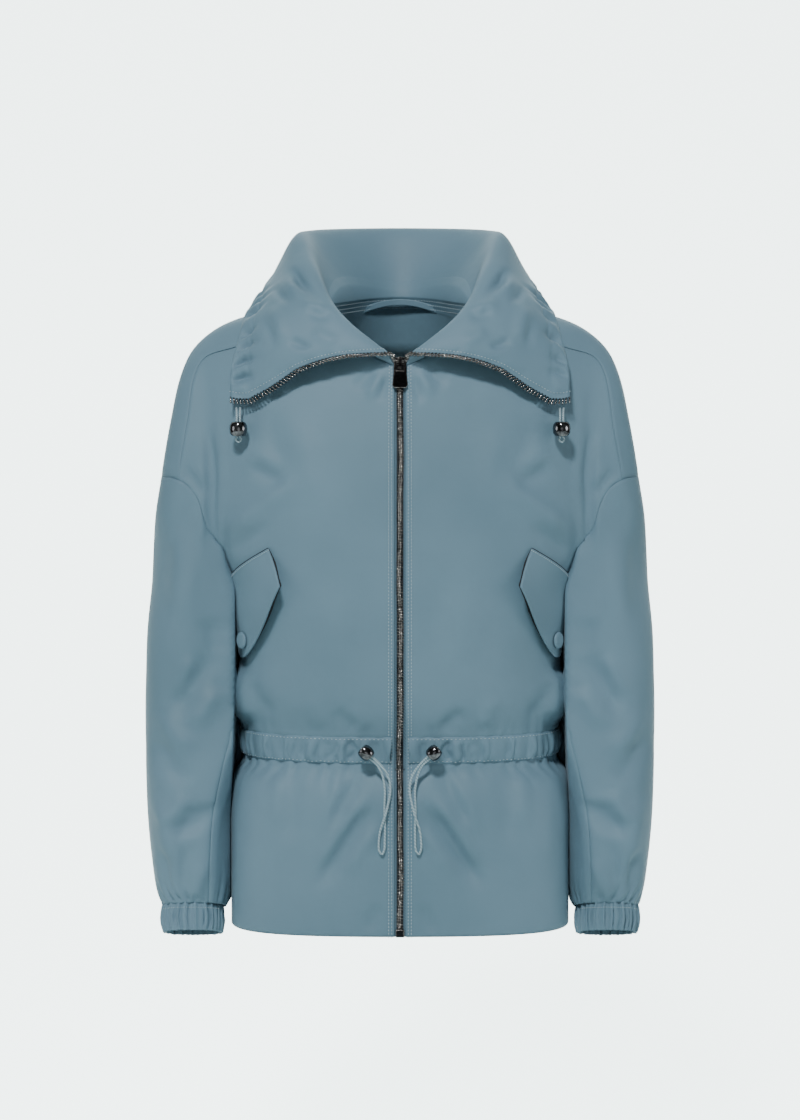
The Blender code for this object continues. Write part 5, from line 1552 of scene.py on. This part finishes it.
@dataclass
class PocketFlaps:
    """Slanted pocket flaps with cloth-covered snaps."""

    wall: Wall = Wall("flap_left", 0.0018, FRONT, first=(0.127, -0.12, -0.232), columns=8, step=0.0022)
    shell: float = 0.0016
    bevel: float = 0.0011
    stand: float = 0.0090  # how far the free corner stands off the pocket
    stand_power: float = 1.4
    held_from: float = 0.62  # share of the flap's length from which the snap holds it down
    stitch_in: float = 0.0018
    stitch: Stitch = Stitch(0.0027, 0.0019, 0.0007)
    # how far the dark strip shows beside the flap, at shares of the way back along its sewn edge,
    # down its short edge and along its free edge; it is the pocket opening, with painted shadow under the
    # flap's edges
    mouth: tuple[float, ...] = (0.0007, 0.0007, 0.0022, 0.0014, 0.0032, 0.0010, 0.0006)
    mouth_at: tuple[float, ...] = (0.0, 0.34, 0.42, 0.50, 0.68, 0.88, 1.0)
    mouth_under: float = 0.0030
    mouth_lift: float = 0.0005
    mouth_shell: float = 0.0003

    def pocket_mouth(self, parka: Parka, side: Side) -> None:
        """A dark strip on the front that follows the flap's edges: the pocket opening, with painted shadow
        beside the flap.
        """
        flap = parka.grids[f"flap_{side.word}"].points
        front = parka.surface(f"front_{side.word}")
        edge = np.concatenate([flap[0, ::-1], flap[1:, 0], flap[-1, 1:]])[:, [0, 2]]
        run = run_of(edge)
        along = unit(np.gradient(edge, axis=0))
        out = np.stack([along[:, 1], -along[:, 0]], axis=1)
        out *= np.sign(np.sum(out * (edge - edge.mean(axis=0)), axis=1, keepdims=True))
        wide = np.interp(run / run[-1], self.mouth_at, self.mouth)[:, None]
        rows = []
        for place_at in (edge - out * self.mouth_under, edge + out * wide):
            hits = seen_from_front(front, place_at)
            rows.append([(h.x, h.y - self.mouth_lift, h.z) if h else (np.nan,) * 3 for h in hits])
        points = np.array(rows)
        points = points[:, np.isfinite(points).all(axis=(0, 2))]
        strip = ClothGrid(points, 1.0)
        strip.facing = -1.0 if strip.normals()[..., 1].mean() > 0 else 1.0
        # the strip's near-black finish is painted shadow beside the flap
        settle(strip.piece(f"pocket_mouth_{side.word}", parka.wardrobe.lining, self.mouth_shell))

    def build(self, parka: Parka) -> None:
        """Make both flaps, their sewn edges and their snaps."""
        left = self.wall.read()
        rows, columns = (np.linspace(0, 1, n) for n in left.points.shape[:2])
        down, along = np.meshgrid(rows, columns, indexing="ij")
        lift = self.stand * down**self.stand_power * (1.0 - ease(along / self.held_from))
        for side in Side:
            node = f"flap_{side.word}"
            grid = left.on(side).moved(lift)
            parka.grids[node] = grid
            parka.sew(node, grid, self.shell)
            parka.stitch(f"{node}_stitches", [grid.line_in(Edge.FIRST_ROW, self.stitch_in)], self.stitch)
            self.pocket_mouth(parka, side)
            snap = rounded_copy(f"snap_{side.word}", parka.wardrobe.cloth, self.bevel)
            settle(snap, [f"snap_{side.word}"])


def rounded_copy(node: str, material: Material, bevel: float, wear_and_highlight: Material | None = None) -> Object:
    """A copy of a CAD node with rounded edges.

    Args:
        node: The CAD node's name.
        material: The copy's finish.
        bevel: The radius of its edges.
        wear_and_highlight: A paler finish for the rounded edges, as a painted highlight, if they get one.

    Returns:
        The new piece.
    """
    bm = bmesh.new()
    bm.from_mesh(bpy.data.objects[node].data)
    bmesh.ops.remove_doubles(bm, verts=bm.verts[:], dist=WELD)
    bmesh.ops.dissolve_limit(bm, angle_limit=LEVEL, verts=bm.verts[:], edges=bm.edges[:])
    sharp = [e for e in bm.edges if len(e.link_faces) == 2 and e.calc_face_angle() > SHARP]
    rounded = bmesh.ops.bevel(
        bm, geom=sharp, offset=bevel, segments=EDGE_FACES, profile=0.5, affect="EDGES", clamp_overlap=True
    )
    for f in bm.faces:
        f.smooth = True
    # the rounded edges get the paler finish: a painted highlight
    for f in rounded["faces"] if wear_and_highlight else ():
        f.material_index = 1
    mesh = bpy.data.meshes.new(f"{node}_shape")
    bm.to_mesh(mesh)
    bm.free()
    for finish in (material, wear_and_highlight) if wear_and_highlight else (material,):
        mesh.materials.append(finish)
    made = place(f"{node}_shape", mesh)
    made.modifiers.new("Even shading", "WEIGHTED_NORMAL")
    return made


@dataclass
class FrontZip:
    """The zip: tapes, the closed chain, the open halves on the collar, slider, pull and box."""

    # a real chain of this width has a pitch of 2 mm, too fine to show, so both chains are drawn coarser
    tooth: Tooth = Tooth(0.0030, 0.0044, 0.0014, 0.0022)
    half_tooth: Tooth = Tooth(0.0034, 0.0056, 0.0016, 0.0026)
    tooth_in: float = 0.0010  # a tooth's middle, from the middle of the closed chain
    sway: Pairs = ((0.0006, 0.031), (0.0004, 0.013))  # height and length of the chain's slight waves
    web: tuple[float, float] = (0.0046, 0.0016)  # half width of the tapes behind the teeth, and their depth
    web_shell: float = 0.0004
    web_every: int = 4
    half_out: float = 0.0022  # a tooth's middle, out from the collar's edge
    chain_sink: float = 0.0011
    chain_ends: float = 0.0005  # the chain's ends, in from those of its node
    into_box: float = 0.0030  # how far the chain runs on down into the box
    fine: int = 4  # points of a row's line in one pitch
    rows_from_edge: tuple[float, float] = (0.0025, 0.0055)
    stitch: Stitch = Stitch(0.0033, 0.0018, 0.0007)
    bevel: float = 0.0006

    def chain(self, parka: Parka) -> None:
        """Interlocked teeth down the front."""
        low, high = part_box("zip_chain")
        tree = BVHTree.FromObject(bpy.data.objects["zip_chain"], bpy.context.evaluated_depsgraph_get())
        heights = np.arange(low[2] + self.chain_ends, high[2] - self.chain_ends, self.tooth.pitch)
        hits = seen_from_front(tree, [(0.0, z) for z in heights])
        line = np.array([h[:] for h in hits if h is not None]) + [0.0, self.chain_sink, 0.0]
        line = np.concatenate([line[:1] - [0.0, 0.0, self.into_box], line])
        half_a_pitch = self.fine // 2
        rows, reach = [], []
        for side in Side:
            row = evenly(line, self.tooth.pitch / self.fine)
            row = row[:-half_a_pitch] if side is Side.LEFT else row[half_a_pitch:]
            wave = sum(width * np.sin(row[:, 2] / length) for width, length in self.sway)
            row[:, 0] += side.value * self.tooth_in + wave
            rows.append(row)
            reach.append(np.tile([-float(side.value), 0.0, 0.0], (len(row), 1)))
        teeth = row_of("chain_teeth", self.tooth, parka.wardrobe.teeth, rows, np.concatenate(reach))
        settle(teeth, ["zip_chain"])
        # the web's near-black tape is painted shade between the teeth
        half, back = self.web
        edges = [line[:: self.web_every] + [x, back, 0.0] for x in (-half, 0.0, half)]
        tapes = ClothGrid(np.stack(edges, axis=1), -1.0)
        settle(tapes.piece("zip_web", parka.wardrobe.shaded_tape, self.web_shell))

    def halves(self, parka: Parka) -> None:
        """Open rows of teeth along the collar's zip edges."""
        for side, edge in ((Side.RIGHT, Edge.FIRST_COLUMN), (Side.LEFT, Edge.LAST_COLUMN)):
            collar, _ = parka.grids["collar"].from_edge(edge)
            out = unit(collar[0] - collar[1])
            line = collar[0] + out * self.half_out
            row = evenly(line, self.tooth.pitch / self.fine)
            reach = values_at(run_of(line), out, run_of(row))
            teeth = row_of(f"half_teeth_{side.word}", self.half_tooth, parka.wardrobe.teeth, [row], reach)
            settle(teeth, [f"zip_half_{side.word}"])

    def build(self, parka: Parka) -> None:
        """Make the whole zip and the stitching beside it."""
        for side in Side:
            tape = bpy.data.objects[f"zip_tape_{side.word}"].data
            tape.materials.clear()
            tape.materials.append(parka.wardrobe.tape)
            front = parka.grids[f"front_{side.word}"]
            lines = [front.line_in(Edge.FIRST_COLUMN, inward) for inward in self.rows_from_edge]
            parka.stitch(f"zip_stitches_{side.word}", lines, self.stitch)
        self.chain(parka)
        self.halves(parka)
        # the rounded edges of slider, box and pull get the paler nickel as a painted highlight
        metal, wear_and_highlight = parka.wardrobe.metal, parka.wardrobe.teeth
        for node, body in (("zip_slider", "garment"), ("zip_box", "garment"), ("zip_pull", "pull_tab")):
            made = rounded_copy(node, metal, self.bevel, wear_and_highlight)
            settle(made, [node], body)


@dataclass
class DrawCords:
    """Elastic cords with their metal stops at the waist and the collar."""

    waist_route: tuple[Point, ...] = (
        (0.0378, -0.1154, -0.4261), (0.0284, -0.1155, -0.4352), (0.0223, -0.1157, -0.4405),
        (0.0166, -0.1143, -0.4528), (0.0146, -0.1155, -0.4664), (0.0148, -0.1166, -0.4780),
        (0.0150, -0.1175, -0.4885), (0.0146, -0.1185, -0.5030), (0.0148, -0.1190, -0.5180),
        (0.0158, -0.1191, -0.5250), (0.0178, -0.1191, -0.5278), (0.0198, -0.1191, -0.5250),
        (0.0206, -0.1189, -0.5180), (0.0194, -0.1190, -0.5059), (0.0166, -0.1211, -0.4963),
        (0.0140, -0.1209, -0.4885), (0.0116, -0.1186, -0.4789), (0.0094, -0.1161, -0.4664),
        (0.0107, -0.1153, -0.4548), (0.0168, -0.1162, -0.4432), (0.0265, -0.1162, -0.4332),
        (0.0359, -0.1161, -0.4241),
    )
    collar_route: tuple[Point, ...] = (
        (0.1556, -0.0750, -0.0965), (0.1553, -0.0860, -0.1075), (0.1554, -0.0860, -0.1165),
        (0.1552, -0.0860, -0.1245), (0.1544, -0.0860, -0.1267), (0.1556, -0.0860, -0.1287),
        (0.1580, -0.0860, -0.1287), (0.1592, -0.0860, -0.1267), (0.1584, -0.0860, -0.1245),
        (0.1582, -0.0860, -0.1165), (0.1583, -0.0860, -0.1075), (0.1592, -0.0750, -0.0965),
    )
    waist_radius: float = 0.0011
    collar_radius: float = 0.0010
    points: int = 90
    round_steps: int = 3
    bead_bevel: float = 0.0014

    def smooth_route(self, route: Sequence[Sequence[float]], mirror: int) -> np.ndarray:
        """A finer line through a route's points, on one side of the body."""
        p = np.array(route) * [mirror, 1.0, 1.0]
        run = run_of(p)
        return spline_weights(run, np.linspace(0.0, run[-1], self.points)) @ p

    def cord(self, parka: Parka, name: str, line: np.ndarray, radius: float) -> Object:
        """A round cord along a line."""
        data = bpy.data.curves.new(name, "CURVE")
        data.dimensions = "3D"
        data.bevel_depth = radius
        data.bevel_resolution = self.round_steps
        data.use_fill_caps = True
        spline = data.splines.new("POLY")
        spline.points.add(len(line) - 1)
        for point, at in zip(spline.points, line):
            point.co = (*at, 1.0)
        data.materials.append(parka.wardrobe.elastic)
        return place(name, data)

    def build(self, parka: Parka) -> None:
        """Make the four cords and their stops."""
        # the rounded edges of the cord stops get the paler nickel as a painted highlight
        metal, wear_and_highlight = parka.wardrobe.stops, parka.wardrobe.teeth
        for side in Side:
            for where, route, radius in (
                ("waist", self.waist_route, self.waist_radius),
                ("collar", self.collar_route, self.collar_radius),
            ):
                node = f"{where}_cord_{side.word}"
                stop = f"{where}_bead_{side.word}"
                bead = rounded_copy(stop, metal, self.bead_bevel, wear_and_highlight)
                settle(bead, [stop])
                line = self.smooth_route(route, side.value)
                made = self.cord(parka, f"{node}_elastic", line, radius)
                settle(made, [node])


@dataclass
class NeckTrim:
    """The facing over the neck seam, its three rows of stitches and the hanger loop in front of it."""

    loop: Wall = Wall("hanger_loop", 0.0014, FRONT, first=(-0.037, 0.028, -0.004), columns=15, step=0.0012)
    loop_shell: float = 0.0012
    facing: float = 0.0007
    facing_from: float = -0.040  # how far forward the facing runs on both sides
    seam_mid: float = 0.0126  # height of the neck seam at the middle of the back
    seam_fall: float = 0.0076  # how much lower it is where the collar's folds hide it
    seam_half: float = 0.068
    seam_under: float = 0.0015  # how far below the collar's foot it is at least
    lean: float = 0.4  # share of the collar's own slant that the facing keeps down to the seam
    lean_row: int = 2  # the collar's row that the slant is taken to
    slope: float = 0.22  # how much the facing leans back as it goes down
    # how far inward the facing lies: from the collar's fifth row to its foot, halfway to the seam, and below
    off_collar: tuple[float, ...] = (-0.0006, 0.0001, 0.0004, 0.0007, 0.0009)
    off_halfway: float = 0.0007
    off_below: float = 0.0002
    # the seam's rounded edge: up from the seam, and inward
    seam_edge: Pairs = ((0.0006, 0.0010), (-0.0004, 0.0009), (-0.0014, 0.0001))
    below_seam: tuple[float, ...] = (0.004, 0.008, 0.012, 0.018, 0.030, 0.045, 0.060)
    rows_at: tuple[float, ...] = (0.0026, 0.0066, 0.0106)
    rows_lift: float = 0.0006
    stitch: Stitch = Stitch(0.0036, 0.0020, 0.0008)
    middle: tuple[float, float] = (0.0, -0.03)

    def facing_grid(self, parka: Parka) -> ClothGrid:
        """The facing, from inside the collar's foot down past the seam."""
        collar = parka.grids["collar"]
        normals = collar.normals()
        columns = []
        for k in range(collar.points.shape[1]):
            up = collar.points[:, k]
            foot, higher = up[0], up[self.lean_row]
            if foot[1] <= self.facing_from or foot[2] <= 0.0:
                continue
            inward = unit(np.array([self.middle[0] - foot[0], self.middle[1] - foot[1], 0.0]))
            fall = self.seam_fall * (foot[0] / self.seam_half) ** 2
            seam = min(self.seam_mid - fall, foot[2] - self.seam_under)
            slant = self.lean * (foot[:2] - higher[:2]) * (foot[2] - seam) / (higher[2] - foot[2])
            at_seam = np.array([*(foot[:2] + slant), seam])
            top = len(self.off_collar) - 1
            line = [up[top - i] + normals[top - i, k] * off for i, off in enumerate(self.off_collar)]
            line.append(0.5 * (at_seam + foot) + inward * self.off_halfway)
            hung = [*self.seam_edge, *((-d, self.off_below - self.slope * d) for d in self.below_seam)]
            line += [at_seam + [0.0, 0.0, rise] + inward * off for rise, off in hung]
            columns.append(line)
        points = np.moveaxis(np.array(columns), 0, 1)
        return ClothGrid(points, -1.0 if points[0, 0, 0] < points[0, -1, 0] else 1.0)

    def build(self, parka: Parka) -> None:
        """Make the facing, its stitches and the loop."""
        facing = self.facing_grid(parka)
        settle(facing.piece("neck_facing", parka.wardrobe.cloth, self.facing))
        seam = len(self.off_collar) + 2
        lines = []
        for below in self.rows_at:
            line = facing.points[seam] - [0.0, 0.0, below]
            for at, hung in zip(line, np.moveaxis(facing.points[::-1], 1, 0)):
                at[1] = np.interp(at[2], hung[:, 2], hung[:, 1])
            lines.append(line + [0.0, -self.rows_lift, 0.0])
        parka.stitch("neck_stitches", lines, self.stitch)
        loop = self.loop.read().piece("hanger_loop_tape", parka.wardrobe.cloth, self.loop_shell)
        settle(loop, ["hanger_loop"])


def main() -> None:
    """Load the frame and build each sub-assembly."""
    logging.basicConfig(level=logging.INFO, format="%(name)s: %(message)s")
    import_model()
    Studio().build()
    parka = Parka(Wardrobe())
    DrawCords().build(parka)
    for assembly in (
        BodyPanels(),
        Sleeves(),
        Cuffs(),
        Collar(),
        WaistCasing(),
        PocketFlaps(),
        NeckTrim(),
        FrontZip(),
    ):
        assembly.build(parka)


if __name__ == "__main__":
    main()
